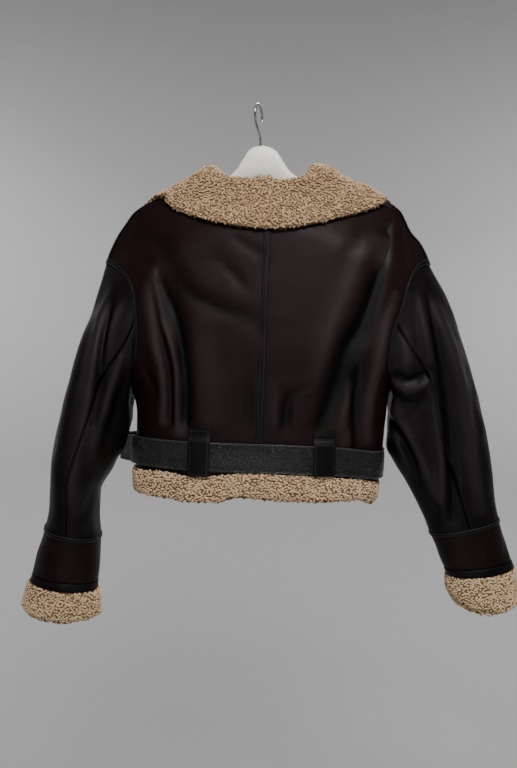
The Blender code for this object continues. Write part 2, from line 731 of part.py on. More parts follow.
def keep_off_body(grid, hand, margins):
    """Sleeve points beside the body, moved out to clear the armhole's edge and the side."""
    grid = grid.copy()
    x, y, z = grid[..., 0], grid[..., 1], grid[..., 2]
    clear = margins[:, None] + UNDERARM_ROOM * ease((-0.425 - z) / 0.020)
    middle, half = middle_and_half(z)
    side = np.where(y > 0, BACK, FRONT)
    depth = body_depth(middle + hand * half * 0.9, z, side)
    level = np.clip(1 - (np.maximum(np.abs(y) - clear, 0) / depth) ** 2, 0, 1)
    beside = hand * middle + half * level ** (1 / SQUARENESS)
    edge = hand * through(z, ARMHOLE[hand]["z"], ARMHOLE[hand]["x"])
    limit = np.where(z < UNDERARM_Z, beside, np.minimum(beside, edge)) + clear
    inside = (hand * x < limit) & (np.abs(y) < depth)
    grid[..., 0] = np.where(inside, hand * limit, x)
    across = np.clip(np.abs(x - middle) / half, 0, 1)
    over_tape = body_depth(x, z, side) * np.sqrt(1 - across ** SQUARENESS) + TAPE_ROOM
    low = (hand * x < edge - 0.0005) & (np.abs(y) < over_tape) & (np.abs(y) > over_tape - 0.010)
    grid[..., 1] = np.where(low & ~inside, side * over_tape, y)
    return grid


SLEEVE_STEPS = (0, 0.4, 0.7, 1.0, 1.5, 2.0, 2.5, 3.0, 3.5, 4.0, 4.5, 5.0, 5.5, 6.0, 6.5,
                6.82, CUFF_TOP_ROW)


def sleeve_grid(hand):
    """The whole sleeve from the armhole to the top of the cuff."""
    steps = np.array(SLEEVE_STEPS)
    angles = np.arange(SLEEVE_SECTORS) * 360.0 / SLEEVE_SECTORS
    grid = section(SLEEVE[hand], steps[:, None], angles[None, :])
    ring, ring_normal = armhole_ring(hand)
    fade = 1 - ease(steps / 2.2)
    grid = grid + fade[:, None, None] * (ring - grid[0])[None]
    sine = np.sin(np.radians(angles))
    side = np.where(sine >= 0, BACK, FRONT)
    grid = keep_off_body(grid, hand, 0.0004 + 0.0024 * (steps > 0) + 0.0016 * ease(steps / 0.7))
    normal = grid_normals(grid)
    guard = ease(np.abs(sine) / 0.5)[None, :] * ease(steps / 1.0)[:, None]
    guard = guard * ease((CUFF_TOP_ROW - 0.3 - steps) / 0.6)[:, None]
    height = fold_height(SLEEVE_FOLDS, grid[..., 0], grid[..., 2], side[None, :]) * guard
    grid = grid + normal * height[..., None]
    tangent = unit(np.roll(ring, -1, axis=0) - np.roll(ring, 1, axis=0))
    outward = np.cross(ring_normal, tangent)
    outward = outward * np.sign(np.sum(outward * (grid[0].mean(axis=0) - ring), axis=-1,
                                       keepdims=True))
    over_panel = np.sum(normal[0] * outward, axis=-1, keepdims=True)
    agree = np.sum(normal[0] * ring_normal, axis=-1, keepdims=True)
    share = ease((over_panel + 0.15) / 0.15) * ease(agree / 0.5)
    normal[0] = unit(ring_normal * share + normal[0] * (1 - share))
    return grid, normal


def make_sleeves():
    quarter = SLEEVE_SECTORS // 4
    for hand, which in ((LEFT, "left"), (RIGHT, "right")):
        grid, normal = sleeve_grid(hand)
        inner = grid - normal * LEATHER_WALL
        top = np.arange(-quarter, quarter + 1) % SLEEVE_SECTORS
        under = np.arange(quarter, SLEEVE_SECTORS - quarter + 1)
        edges = ("first_row", "last_row", "first_column", "last_column")
        wall(f"sleeve_{which}_top", grid[:, top], inner[:, top], "leather", gaps=edges)
        wall(f"sleeve_{which}_under", grid[:, under], inner[:, under], "leather", gaps=edges)
        low = grid[-2:] + normal[-2:] * LIE_GAP
        wall(f"cuff_{which}_tape", low + normal[-2:] * TAPE_WALL, low, "trim", tube=True,
             gaps=("first_row", "last_row"))


def make_cuffs():
    angles = np.arange(SLEEVE_SECTORS) * 360.0 / SLEEVE_SECTORS
    steps = np.array([CUFF_TOP_ROW, 7.5, 8.1, BINDING_TOP_ROW, CUFF_END_ROW])
    for hand, which in ((LEFT, "left"), (RIGHT, "right")):
        grid = section(SLEEVE[hand], steps[:, None], angles[None, :])
        normal = grid_normals(grid)
        above, above_normal = sleeve_grid(hand)
        normal[0] = above_normal[-1]
        inner = grid - normal * LEATHER_WALL
        wall(f"cuff_{which}_panel", grid[:4], inner[:4], "leather", tube=True,
             gaps=("first_row", "last_row"))
        binding = grid[3:] + normal[3:] * BINDING_STANDS_OUT
        wall(f"cuff_{which}_binding", binding, inner[3:], "trim", tube=True,
             gaps=("first_row", "last_row"))
        rows = np.arange(len(CUFF_FUR_WALL))
        pile = section(CUFF_FUR[hand], rows[:, None], angles[None, :])
        within = pile - grid_normals(pile) * np.array(CUFF_FUR_WALL)[:, None, None]
        wall(f"cuff_{which}_fur", pile, within, "pile", tube=True)


# Collar and hem

def profile_at(roll):
    """The collar wall's middle line before it lies flat on the panel."""
    along = COLLAR_PROFILE["back_along"] * (1 - roll) + COLLAR_PROFILE["side_along"] * roll
    height = COLLAR_PROFILE["back_height"] * (1 - roll) + COLLAR_PROFILE["side_height"] * roll
    return along, height


def collar_section(neck_turn, edge_turn, edge_z, roll):
    """One closed section of the collar: its outer face, then back along its inner face."""
    shares = np.linspace(0, 1, 25)
    neck_turn, neck_z = neck_seam(neck_turn)
    path, normals = body_surface(neck_turn + (edge_turn - neck_turn) * shares,
                                 neck_z + (edge_z - neck_z) * shares)
    steps = np.linalg.norm(np.diff(path, axis=0), axis=1)
    travelled = np.concatenate([[0], np.cumsum(steps)])
    along, height = profile_at(roll)
    rest = np.linspace(along[-1], travelled[-1], COLLAR_FALL_STEPS + 1)[1:]
    flat = height[-1] + (COLLAR_FALL_HEIGHT - height[-1]) * ease(
        (rest - along[-1]) / (0.6 * (travelled[-1] - along[-1])))
    along, height = np.concatenate([along, rest]), np.concatenate([height, flat])

    line = np.stack([along, height], axis=1)
    run = unit(np.gradient(line, axis=0))
    side = np.stack([-run[:, 1], run[:, 0]], axis=1)
    thick = np.full(len(line), COLLAR_WALL / 2)
    thick[-1] *= COLLAR_EDGE_SHARE
    first, last = line + side * thick[:, None], line - side * thick[:, None]
    flat_section = np.concatenate([first, last[::-1]])

    start = unit(path[1] - path[0])
    placed = []
    for distance, rise in flat_section:
        at = np.clip(distance, 0, travelled[-1])
        base = np.array([np.interp(at, travelled, path[:, k]) for k in range(3)])
        out = unit(np.array([np.interp(at, travelled, normals[:, k]) for k in range(3)]))
        ahead = start if distance < 0 else unit(path[-1] - path[-2])
        placed.append(base + ahead * (distance - at) + out * rise)
    return placed


def make_collar():
    numbers = np.arange(len(COLLAR["roll"]))
    sections = []
    for at in np.linspace(0, numbers[-1], COLLAR_STATIONS):
        row = {key: float(through(at, numbers, COLLAR[key])) for key in COLLAR}
        sections.append(collar_section(**row))
    closed_loft("collar", sections, "pile")


# The hem band's wall, from the leather's lower edge down: outside and inside of the panels' face
HEM_FUR = table(
    "share outside inside",
    (0.00, 0.0022, 0.0045),
    (0.12, 0.0055, 0.0055),
    (0.45, 0.0065, 0.0055),
    (0.80, 0.0055, 0.0055),
    (0.95, 0.0030, 0.0050),
    (1.00, 0.0000, 0.0035),
)


def make_hem():
    """The pile band below the leather, on the panels' own lower points."""
    grids = [panel_places(h, s, PANEL_COLUMNS, [0.0]) for h, s in
             ((RIGHT, FRONT), (RIGHT, BACK), (LEFT, BACK), (LEFT, FRONT))]
    (t1, z1), (t2, z2), (t3, z3), (t4, z4) = [(t[0], z[0]) for t, z in grids]
    turns = np.concatenate([t1[:-1], t2[::-1], t3[1:], t4[::-1][1:]])
    top = np.concatenate([z1[:-1], z2[::-1], z3[1:], z4[::-1][1:]])
    bottom = read(HEM, "x", "pile", x_at(turns, top))
    z = top + (bottom - top) * HEM_FUR["share"][:, None]
    points, normal = body_surface(turns[None, :], z)
    outer = points + normal * HEM_FUR["outside"][:, None, None]
    inner = points - normal * HEM_FUR["inside"][:, None, None]
    wall("hem_fur", outer, inner, "pile", gaps=("first_row", "first_column", "last_column"))


# Belt, buckle and loops

def belt_level(turn):
    return read(BELT_LEVEL, "turn", "z", turn)


def belt_on_body(turns, height):
    """Belt middle points that follow the body at a height above it."""
    points, _ = body_surface(turns, belt_level(turns), height)
    points[..., 2] = belt_level(turns)
    return points


def strap(name, path, width, thickness, finish):
    """A flat strap on edge along a path of its middle points."""
    path = np.asarray(path)
    run = np.gradient(path, axis=0)
    run[:, 2] = 0
    out = unit(np.cross(run, np.array([0.0, 0.0, 1.0])))
    up = np.array([0.0, 0.0, width / 2])
    half = out * thickness / 2
    sections = np.stack([path + half - up, path + half + up, path - half + up, path - half - up],
                        axis=1)
    return closed_loft(name, sections, finish)


def front_turn(x, z=-0.58):
    return 180.0 - turn_at(x, z)


def make_belt():
    """One strap: from under the buckle, round by the slack and the back, to its free end."""
    lie = BELT_STANDOFF + BELT_WALL / 2
    start = belt_on_body(front_turn(np.linspace(BELT_END_X, 0.124, 6)), lie)
    slack = np.stack([BELT_SLACK[key] for key in ("x", "y", "z")], axis=1)
    round_body = belt_on_body(np.linspace(72, -168, 33), lie)
    end = belt_on_body(front_turn(BELT_TIP["x"]), BELT_TIP["height"])
    knots = np.concatenate([start, slack, round_body, end])
    lengths = np.concatenate([[0], np.cumsum(np.linalg.norm(np.diff(knots, axis=0), axis=1))])
    even = np.linspace(0, lengths[-1], BELT_SECTIONS)
    path = np.stack([through(even, lengths, knots[:, k]) for k in range(3)], axis=1)
    strap("belt_strap", path, BELT_WIDTH, BELT_WALL, "trim")


def make_buckle():
    """A plain wire frame: the free end goes under its right bar and over its left one."""
    middle, _ = body_surface(180.0, float(belt_level(180.0)), BUCKLE_HEIGHT)
    corner = 0.003
    outline = []
    for quarter, (sx, sz) in enumerate(((1, 1), (-1, 1), (-1, -1), (1, -1))):
        for step in range(4):
            angle = math.radians(90 * quarter + 30 * step)
            outline.append((sx * (BUCKLE_HALF_X - corner) + corner * math.cos(angle),
                            sz * (BUCKLE_HALF_Z - corner) + corner * math.sin(angle)))
    curve = bpy.data.curves.new("buckle_frame", "CURVE")
    curve.dimensions = "3D"
    curve.bevel_depth = BUCKLE_WIRE
    curve.bevel_resolution = 1
    spline = curve.splines.new("POLY")
    spline.points.add(len(outline) - 1)
    for spot, (x, z) in zip(spline.points, outline):
        spot.co = (x, middle[1], middle[2] + z, 1)
    spline.use_cyclic_u = True
    made = bpy.data.objects.new("buckle_frame", curve)
    made.location.x = GARMENT_X
    curve.materials.append(material("steel"))
    bpy.data.collections[OBJECT_NAME].objects.link(made)


LOOP_STEPS = table(
    "share lift",
    (0.00, 0.0),
    (0.11, 0.0),
    (0.21, 0.3),
    (0.27, 1.0),
    (0.40, 1.0),
    (0.66, 1.0),
    (0.90, 1.0),
    (0.96, 1.0),
    (1.00, 0.7),
)
LOOP_RISE = 0.021           # above the belt's top edge
LOOP_LIE = 0.0009
LOOP_ROOM = 0.0014          # between the belt and the loop over it
SECOND_BELT_LAYER = 0.0072  # where the free end lies over the belt
LOOP_ABOVE_HEM = 0.0012


def make_loops():
    """Each loop starts flat on the panel, stands over the belt and ends at the hem seam."""
    over = BELT_STANDOFF + BELT_WALL + LOOP_ROOM
    for loops, side in ((BACK_LOOPS, BACK), (FRONT_LOOPS, FRONT)):
        for name, x in loops.items():
            place = float(turn_at(x, -0.58)) if side > 0 else float(front_turn(x))
            top = float(belt_level(place)) + BELT_WIDTH / 2 + LOOP_RISE
            bottom = float(read(HEM, "x", "leather", x)) + LOOP_ABOVE_HEM
            z = (top + (bottom - top) * LOOP_STEPS["share"])[:, None]
            raised = over + (SECOND_BELT_LAYER if name == "front_left" else 0)
            lift = LOOP_LIE + (raised - LOOP_LIE) * LOOP_STEPS["lift"]
            columns = x + LOOP_WIDTH * np.array([-0.5, -0.25, 0, 0.25, 0.5])
            turns = turn_at(columns[None, :], z)
            turns = turns if side > 0 else 180 - turns
            points, normal = body_surface(turns, z)
            low = points + normal * lift[:, None, None]
            wall(f"belt_loop_{name}", low + normal * LOOP_WALL, low, "trim")


# Hanger

def make_hanger():
    sections = []
    for x, top, bottom, half in zip(*(HANGER[k] for k in ("x", "top", "bottom", "half"))):
        middle, tall = (top + bottom) / 2, (top - bottom) / 2
        angles = np.radians(np.arange(HANGER_SIDES) * 360 / HANGER_SIDES)
        sections.append([(x, half * math.cos(a), middle + tall * math.sin(a)) for a in angles])
    closed_loft("hanger_body", sections, "hanger")


def make_hook():
    """A wire hook that stands nearly edge-on to the jacket's back."""
    centre_z = HOOK_WIRE - HOOK_RADIUS
    arc = [(HOOK_TWIST * math.cos(a), HOOK_RADIUS * math.cos(a),
            centre_z + HOOK_RADIUS * math.sin(a)) for a in np.radians(np.linspace(-25, 195, 20))]
    shank = [(-0.0045, 0.0, -0.0648), (-0.0040, 0.0005, -0.055), (0.0005, 0.0065, -0.040),
             (0.0045, 0.0135, -0.030)]
    curve = bpy.data.curves.new("hanger_hook", "CURVE")
    curve.dimensions = "3D"
    curve.bevel_depth = HOOK_WIRE
    curve.bevel_resolution = 2
    curve.use_fill_caps = True
    spline = curve.splines.new("POLY")
    points = shank + arc
    spline.points.add(len(points) - 1)
    for spot, place in zip(spline.points, points):
        spot.co = (*place, 1)
    made = bpy.data.objects.new("hanger_hook", curve)
    curve.materials.append(material("steel"))
    bpy.data.collections[OBJECT_NAME].objects.link(made)


def main():
    for old in list(bpy.data.objects):
        bpy.data.objects.remove(old)
    group = bpy.data.collections.new(OBJECT_NAME)
    bpy.context.scene.collection.children.link(group)
    make_panels()
    make_tapes()
    make_sleeves()
    make_cuffs()
    make_collar()
    make_hem()
    make_belt()
    make_buckle()
    make_loops()
    make_hanger()
    make_hook()


main()
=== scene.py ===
# Short leather jacket with a curly pile collar, cuffs and hem, on its hanger.
# The back faces +Y, the wearer's left is +X, and the hook's inside top is the origin.
import math

import bmesh
import bpy
import numpy as np
from mathutils import Matrix, Vector


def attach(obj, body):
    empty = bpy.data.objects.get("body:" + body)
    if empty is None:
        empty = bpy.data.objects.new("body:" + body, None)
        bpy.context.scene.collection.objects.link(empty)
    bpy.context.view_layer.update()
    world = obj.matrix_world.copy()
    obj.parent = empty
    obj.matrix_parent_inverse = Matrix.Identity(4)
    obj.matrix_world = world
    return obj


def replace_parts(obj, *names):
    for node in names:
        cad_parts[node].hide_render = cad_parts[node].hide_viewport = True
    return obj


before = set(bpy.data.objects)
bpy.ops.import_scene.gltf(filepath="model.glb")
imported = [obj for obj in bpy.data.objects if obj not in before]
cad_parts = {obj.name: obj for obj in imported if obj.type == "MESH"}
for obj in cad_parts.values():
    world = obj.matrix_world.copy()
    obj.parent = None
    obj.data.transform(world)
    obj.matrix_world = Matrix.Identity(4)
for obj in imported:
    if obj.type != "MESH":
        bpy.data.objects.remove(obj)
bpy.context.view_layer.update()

leftHand, rightHand = 1, -1
hands = ((leftHand, "Left"), (rightHand, "Right"))
backSide, frontSide = 1, -1
garmentX = -0.008                    # the garment hangs this far sideways of the hook


def table(columns, *rows):           # named columns of numbers
    values = np.array(rows, dtype=float).T
    return dict(zip(columns.split(), values))


def millimetres(columns, *rows):     # the same, written in millimetres and kept in metres
    return {key: values / 1000 for key, values in table(columns, *rows).items()}


# The jacket's shape, as the solids have it

body = {
    "squareness": 2.6,               # 2 is an ellipse, more is boxier
    "shoulderFlatness": 0.55,
    "shoulderRoll": 0.120,
    "underarmZ": -0.455,
    "shoulderZ": {leftHand: -0.268, rightHand: -0.255},
    "neck": {"leftZ": -0.117, "rightZ": -0.110, "middleX": -0.012, "backZ": -0.150,
             "frontZ": -0.182},
    "neckShare": 0.36,               # of a panel's columns, the share that ends at the neck
    "armholeRows": 12, "sideRows": 6,    # how a panel's height is shared out at its side
    "edgeSteps": 121,
    "hemZ": -0.61, "beltZ": -0.58,   # about where the hem's seam and the belt lie
    # where front and back meet: shoulders, then inside the sleeve, then sides
    "outline": millimetres(
        "z left right",
        (-660, 204, -209), (-601, 205, -219), (-566, 204, -222), (-520, 204, -225), (-480, 212, -228),
        (-455, 222, -236), (-420, 240, -268), (-380, 252, -282), (-330, 261, -290),
        (-278, 262.5, -292), (-262, 258, -291), (-240, 249, -283), (-220, 239, -272),
        (-200, 225.5, -253), (-182, 213, -243), (-168, 193, -235), (-153, 161, -211),
        (-133, 115, -160), (-110, 62, -88), (-100, 36, -60)),
    # how far back and front stand out from the middle plane
    "depth": millimetres(
        "z back front",
        (-660, 89, 70), (-600, 87, 68), (-500, 84, 66), (-400, 81, 64), (-300, 76, 62), (-200, 70, 58),
        (-150, 64, 56), (-100, 60, 52)),
    # lower edge of the leather, and of the pile band below it
    "hem": millimetres(
        "x leather pile",
        (-230, -625.5, -662), (-213, -624, -661), (-178, -613, -648), (-100, -605, -646.5),
        (-31, -602, -644), (22, -601.5, -641), (60, -608, -650), (106, -611, -652), (143, -607, -650),
        (204, -612, -651), (230, -613, -652)),
    # armhole edges, from the shoulder point to the underarm
    "armhole": {
        leftHand: millimetres(
            "x z",
            (259.8, -268), (247, -272), (232, -280), (209, -303), (201, -340), (199, -385),
            (203, -425), (213, -447), (222, -455)),
        rightHand: millimetres(
            "x z",
            (-288.5, -255), (-272, -259), (-252, -275), (-241, -303), (-234, -335), (-223, -365),
            (-218, -400), (-220, -435), (-236, -455)),
    },
}

# Straight folds: a ridge from one end to the other, or a valley where the height is negative
bodyFolds = table(
    "side x0 z0 x1 z1 width height",
    (backSide, 0.168, -0.29, 0.129, -0.43, 0.014, 0.005),
    (backSide, 0.129, -0.43, 0.124, -0.54, 0.012, 0.005),
    (backSide, 0.176, -0.315, 0.147, -0.52, 0.011, 0.004),
    (backSide, 0.15, -0.33, 0.112, -0.5, 0.012, -0.005),
    (backSide, 0.134, -0.2, 0, -0.37, 0.03, -0.003),
    (backSide, -0.19, -0.25, -0.128, -0.48, 0.02, -0.007),
    (backSide, -0.148, -0.48, -0.15, -0.55, 0.012, 0.004),
    (backSide, -0.178, -0.37, -0.186, -0.545, 0.013, 0.005),
    (backSide, -0.163, -0.44, -0.164, -0.56, 0.008, -0.004),
    (frontSide, 0.16, -0.3, 0.12, -0.54, 0.018, 0.005),
    (frontSide, 0.06, -0.32, 0.04, -0.56, 0.022, -0.004),
    (frontSide, -0.18, -0.29, -0.13, -0.54, 0.018, 0.005),
    (frontSide, -0.07, -0.33, -0.05, -0.56, 0.022, -0.004))

sleeve = {
    "cuffTop": 7.0,                  # rows down the sleeve
    "bindingTop": 8.62,
    "cuffEnd": 9.0,
    # sections from the armhole down: outer edge, inner edge, half depth and middle y
    "rows": {
        leftHand: millimetres(
            "ox oz ix iz depth y",
            (259.8, -268, 222, -455, 56, 6), (281, -346, 215, -490, 57, 9),
            (297, -395, 211.5, -527, 57, 12), (314, -460, 219.5, -566, 59, 15),
            (331, -533, 241, -612, 62, 18), (343.5, -610, 263.5, -658, 62, 19),
            (345.5, -672, 264.5, -700, 55, 20), (355.5, -720, 261.5, -737, 49, 20),
            (371, -772, 263, -785, 43, 20), (381, -811, 267, -826, 40, 20)),
        rightHand: millimetres(
            "ox oz ix iz depth y",
            (-288.5, -255, -236, -455, 56, 4), (-326.5, -320, -232, -490, 56, 4),
            (-353, -392, -230, -525, 52, 3), (-378.5, -463, -229, -562, 46, 2),
            (-404, -551, -246, -597, 40, 0), (-415, -605, -268, -630, 38, 0),
            (-422.5, -655, -296, -680, 37, 0), (-432, -692, -315, -722, 36, 0),
            (-448, -737, -331, -757, 36, 0), (-462, -772, -347, -792, 36, 0)),
    },
    # turned-back pile at the wrist, in the same columns
    "pile": {
        leftHand: millimetres(
            "ox oz ix iz depth y",
            (385, -811.4, 262.5, -826.4, 45, 20), (390.5, -830, 258.5, -846, 47, 20),
            (397.5, -854, 259, -866, 48, 20), (386, -869, 268, -876.5, 41, 20)),
        rightHand: millimetres(
            "ox oz ix iz depth y",
            (-465.6, -772.2, -343.4, -793.2, 41, 0), (-470, -799, -345.5, -815, 43, 0),
            (-475, -829, -359, -838, 44, 0), (-460, -845, -377, -852.5, 37, 0)),
    },
}

collar = {
    "wall": 0.0080,
    "fallHeight": 0.0074,
    # turn round the neck seam, place of the outer edge, and how far it rolls over
    "stations": table(
        "neck_turn edge_turn edge_z roll",
        (176, 163, -0.236, 0.3), (158, 150, -0.268, 0.4), (135, 131, -0.232, 0.6),
        (110, 110, -0.186, 0.9), (90, 90, -0.16, 1), (68, 66, -0.16, 0.9), (50, 51.5, -0.171, 0.6),
        (34, 37.5, -0.187, 0.35), (22, 27, -0.198, 0.15), (12, 16.6, -0.207, 0), (0, 1, -0.213, 0),
        (-7, -7.1, -0.2105, 0), (-17, -19.4, -0.201, 0.1), (-29, -30.1, -0.189, 0.25),
        (-43, -43.5, -0.175, 0.5), (-64, -63, -0.159, 0.85), (-90, -90, -0.15, 1),
        (-110, -110, -0.182, 0.9), (-135, -131, -0.23, 0.6), (-158, -150, -0.266, 0.4),
        (-176, -163, -0.236, 0.3)),
    # middle line of the wall: along the panel from the neck seam, and above the panel
    "profile": millimetres(
        "back_along back_height side_along side_height",
        (-2, -2, -5.6, 0), (-10, -1.5, -7.8, 5), (-19, 0, -6.2, 10.5), (-25.5, 5, 0.5, 14.5),
        (-22.5, 11, 12, 16.2), (-12, 13.5, 25, 15.5), (2, 12, 39, 12.5)),
}

belt = {
    "width": 0.048, "thickness": 0.0026, "standoff": 0.0028, "buckleEnd": 0.008,
    # the slack on the left, where the belt bows away from the body
    "slack": millimetres(
        "x y z",
        (160, -80, -586), (200, -88, -589), (235, -82, -590), (247, -67, -590), (234, -52, -590),
        (217, -32, -588), (211, -12, -584), (210.5, 9, -581)),
    "level": table(
        "turn z",
        (-180, -0.5765), (-150, -0.579), (-120, -0.588), (-75, -0.5925), (-30, -0.579), (0, -0.5765),
        (45, -0.577), (90, -0.58), (135, -0.584), (180, -0.5765)),
    # the free end in front: how far its middle is above the leather
    "tip": millimetres(
        "x height",
        (-36, 4.1), (-12, 4.4), (0, 7.4), (11, 12.1), (21, 13.4), (30, 12.5), (44, 8.8), (60, 7.4),
        (126, 7.4)),
}

buckle = {"wire": 0.0023, "halfX": 0.021, "halfZ": 0.0275, "height": 0.0081, "corner": 0.003}

loops = {
    "width": 0.035, "thickness": 0.0020, "rise": 0.021, "lie": 0.0009, "room": 0.0014,
    "secondLayer": 0.0072, "aboveHem": 0.0012, "crown": 0.0005, "edge": 0.0006,
    "rows": 60, "columns": 11, "flatLength": 0.078,
    "back": {"Left": 0.088, "Right": -0.112},
    "front": {"Left": 0.100, "Right": -0.110},
    "steps": table(
        "share lift",
        (0, 0), (0.11, 0), (0.21, 0.3), (0.27, 1), (0.4, 1), (0.66, 1), (0.9, 1), (0.96, 1), (1, 0.7)),
}

hanger = {
    "sections": millimetres(
        "x top bottom half",
        (-208, -164, -176, 3), (-200, -156.5, -176, 6), (-160, -140.5, -162.5, 6.5),
        (-120, -127, -152, 6.5), (-88, -116.5, -143, 6.5), (-64, -114, -133, 6.5),
        (-48, -100, -126, 6.5), (-34, -79, -118.5, 6.5), (-22, -69, -113, 6.5), (2, -65, -106.5, 6.5),
        (22, -69, -113, 6.5), (32, -78, -117.5, 6.5), (44, -100, -125, 6.5), (60, -118, -133.5, 6.5),
        (90, -130, -144.5, 6.5), (130, -147, -165, 6.5), (165, -164, -183, 6), (174, -173, -184, 3)),
    # the bell round the hook's shank: how much lower its top and its underside are
    "bell": millimetres(
        "x top bottom",
        (-80, 0, 0), (-55, 4, 4), (-36, 9, 8), (-24, 4, 9), (-8, 0, 10), (12, 0, 10), (23, 3, 9),
        (32, 9, 8), (48, 5, 4), (64, 0, 0)),
}


# Curves through tables

def smoothCurve(at, xs, ys, slopes):     # through points, with a given slope at each
    cell = np.clip(np.searchsorted(xs, at) - 1, 0, len(xs) - 2)
    step = xs[cell + 1] - xs[cell]
    part = (at - xs[cell]) / step
    return (ys[cell] * (1 + 2 * part) * (1 - part) ** 2
            + slopes[cell] * step * part * (1 - part) ** 2
            + ys[cell + 1] * part ** 2 * (3 - 2 * part)
            + slopes[cell + 1] * step * part ** 2 * (part - 1))


def through(at, xs, ys):             # without overshoot
    xs, ys = np.asarray(xs, float), np.asarray(ys, float)
    if xs[0] > xs[-1]:
        xs, ys = xs[::-1], ys[::-1]
    between = np.diff(ys) / np.diff(xs)
    slopes = np.zeros_like(ys)
    slopes[0], slopes[-1] = between[0], between[-1]
    same = between[:-1] * between[1:] > 0
    mean = 2 * between[:-1] * between[1:] / np.where(same, between[:-1] + between[1:], 1)
    slopes[1:-1] = np.where(same, mean, 0)
    return smoothCurve(np.clip(np.asarray(at, float), xs[0], xs[-1]), xs, ys, slopes)


def throughRound(at, xs, ys):        # with rounder turns
    return smoothCurve(at, xs, ys, np.gradient(ys, xs))


def read(rows, key, column, at):
    return through(at, rows[key], rows[column])


def ease(value):                     # from 0 to 1, soft at both ends
    value = np.clip(value, 0, 1)
    return value * value * (3 - 2 * value)


def unit(vectors):
    return vectors / np.maximum(np.linalg.norm(vectors, axis=-1, keepdims=True), 1e-12)


def wayAlong(points):                # how far each point of a line lies from its start
    return np.concatenate([[0], np.cumsum(np.linalg.norm(np.diff(points, axis=0), axis=1))])


def pointsAt(at, way, points, curve=np.interp):
    return np.stack([curve(at, way, points[:, k]) for k in range(3)], axis=-1)


def softNoise(a, b, size, seed):     # smooth and even, about -1 to 1, from crossed waves
    dice = np.random.default_rng(seed)
    total = 0
    for _ in range(9):
        angle, phase = dice.uniform(0, 2 * math.pi, 2)
        pitch = 2 * math.pi / (size * dice.uniform(0.7, 1.6))
        total = total + np.sin(pitch * (a * math.cos(angle) + b * math.sin(angle)) + phase)
    return total / 4


# The body as one surface: turn is 0 at the centre back, 90 at the left side, 180 in front

def middleAndHalf(z):
    left = read(body["outline"], "z", "left", z)
    right = read(body["outline"], "z", "right", z)
    return (left + right) / 2, (left - right) / 2


def shoulderHeight(x):
    outline = body["outline"]
    shoulder = outline["z"] > -0.270
    z = outline["z"][shoulder]
    left = through(np.abs(x), outline["left"][shoulder], z)
    right = through(np.abs(x), -outline["right"][shoulder], z)
    return np.where(x > 0, left, right)


def bodyDepth(x, z, side):           # less near the shoulder seam
    depth = body["depth"]
    whole = np.where(side > 0, read(depth, "z", "back", z), read(depth, "z", "front", z))
    below = ease((shoulderHeight(x) - z) / body["shoulderRoll"])
    return whole * (body["shoulderFlatness"] + (1 - body["shoulderFlatness"]) * below)


surface = {
    "guard": 0.45,                   # folds fade where the surface turns to the side
    "foldSteps": 70,
    "foldsFrom": -0.545,             # above the belt, curved folds take the place of straight ones
    "foldsFade": 0.030,
    "slopeStep": 0.0004,
}


def straightFolds(folds, x, z, side):    # each fold fades to its sides and ends
    total = np.zeros(np.broadcast(x, z).shape)
    for k in range(len(folds["side"])):
        a = np.array([folds["x0"][k], folds["z0"][k]])
        run = np.array([folds["x1"][k], folds["z1"][k]]) - a
        along = np.clip(((x - a[0]) * run[0] + (z - a[1]) * run[1]) / (run @ run), 0, 1)
        away = np.hypot(x - a[0] - along * run[0], z - a[1] - along * run[1])
        ridge = folds["height"][k] * np.exp(-(away / folds["width"][k]) ** 2)
        total = total + np.where(side == folds["side"][k], ridge, 0)
    return total


def fold(side, *rows):               # a fold's path, its reach to each side, and its height
    return side, millimetres("x z left right height", *rows)


def curvedFolds(folds, x, z, side):  # left is the greater x of a fold that runs down
    x, z = np.broadcast_arrays(x, z)
    total = np.zeros(x.shape)
    for foldSide, path in folds.values():
        lengths = np.hypot(np.diff(path["x"]), np.diff(path["z"]))
        way = np.concatenate([[0], np.cumsum(lengths)])
        fine = np.linspace(0, way[-1], surface["foldSteps"])
        line = {key: through(fine, way, path[key]) for key in path}
        runX, runZ = np.gradient(line["x"], fine), np.gradient(line["z"], fine)
        near = np.argmin((x[..., None] - line["x"]) ** 2 + (z[..., None] - line["z"]) ** 2, axis=-1)
        dx, dz = x - line["x"][near], z - line["z"][near]
        across = runX[near] * dz - runZ[near] * dx
        past = np.maximum(np.abs(runX[near] * dx + runZ[near] * dz) - fine[1], 0)
        wide = np.where(across > 0, line["left"][near], line["right"][near])
        ridge = line["height"][near] * np.exp(-(across ** 2 + past ** 2) / wide ** 2)
        total = total + np.where(side == foldSide, ridge, 0)
    return total


def bodySurface(turn, z, lift=0.0, creases=None):
    turn, z = np.broadcast_arrays(np.radians(turn), z)
    middle, half = middleAndHalf(z)
    across, cosine = np.sin(turn), np.cos(turn)
    side = np.where(cosine >= 0, backSide, frontSide)
    square = body["squareness"]
    x = middle + half * across
    bulge = np.sqrt(np.maximum(1 - np.abs(across) ** square, 0))
    y = side * bulge * bodyDepth(x, z, side)

    def level(px, pz):
        mid, wide = middleAndHalf(pz)
        deep = bodyDepth(px, pz, side)
        return (y / deep) ** 2 + np.abs((px - mid) / wide) ** square

    tiny = surface["slopeStep"]
    normal = unit(np.stack([(level(x + tiny, z) - level(x - tiny, z)) / (2 * tiny),
                            2 * y / bodyDepth(x, z, side) ** 2,
                            (level(x, z + tiny) - level(x, z - tiny)) / (2 * tiny)], axis=-1))
    guard = ease(np.abs(cosine) / surface["guard"])
    height = straightFolds(bodyFolds, x, z, side) * guard
    if creases is not None:
        high = ease((z - surface["foldsFrom"]) / surface["foldsFade"])
        height = height * (1 - high) + curvedFolds(creases, x, z, side) * guard * high
    points = np.stack([x, y, z], axis=-1) + normal * (height + lift)[..., None]
    return points, normal, height


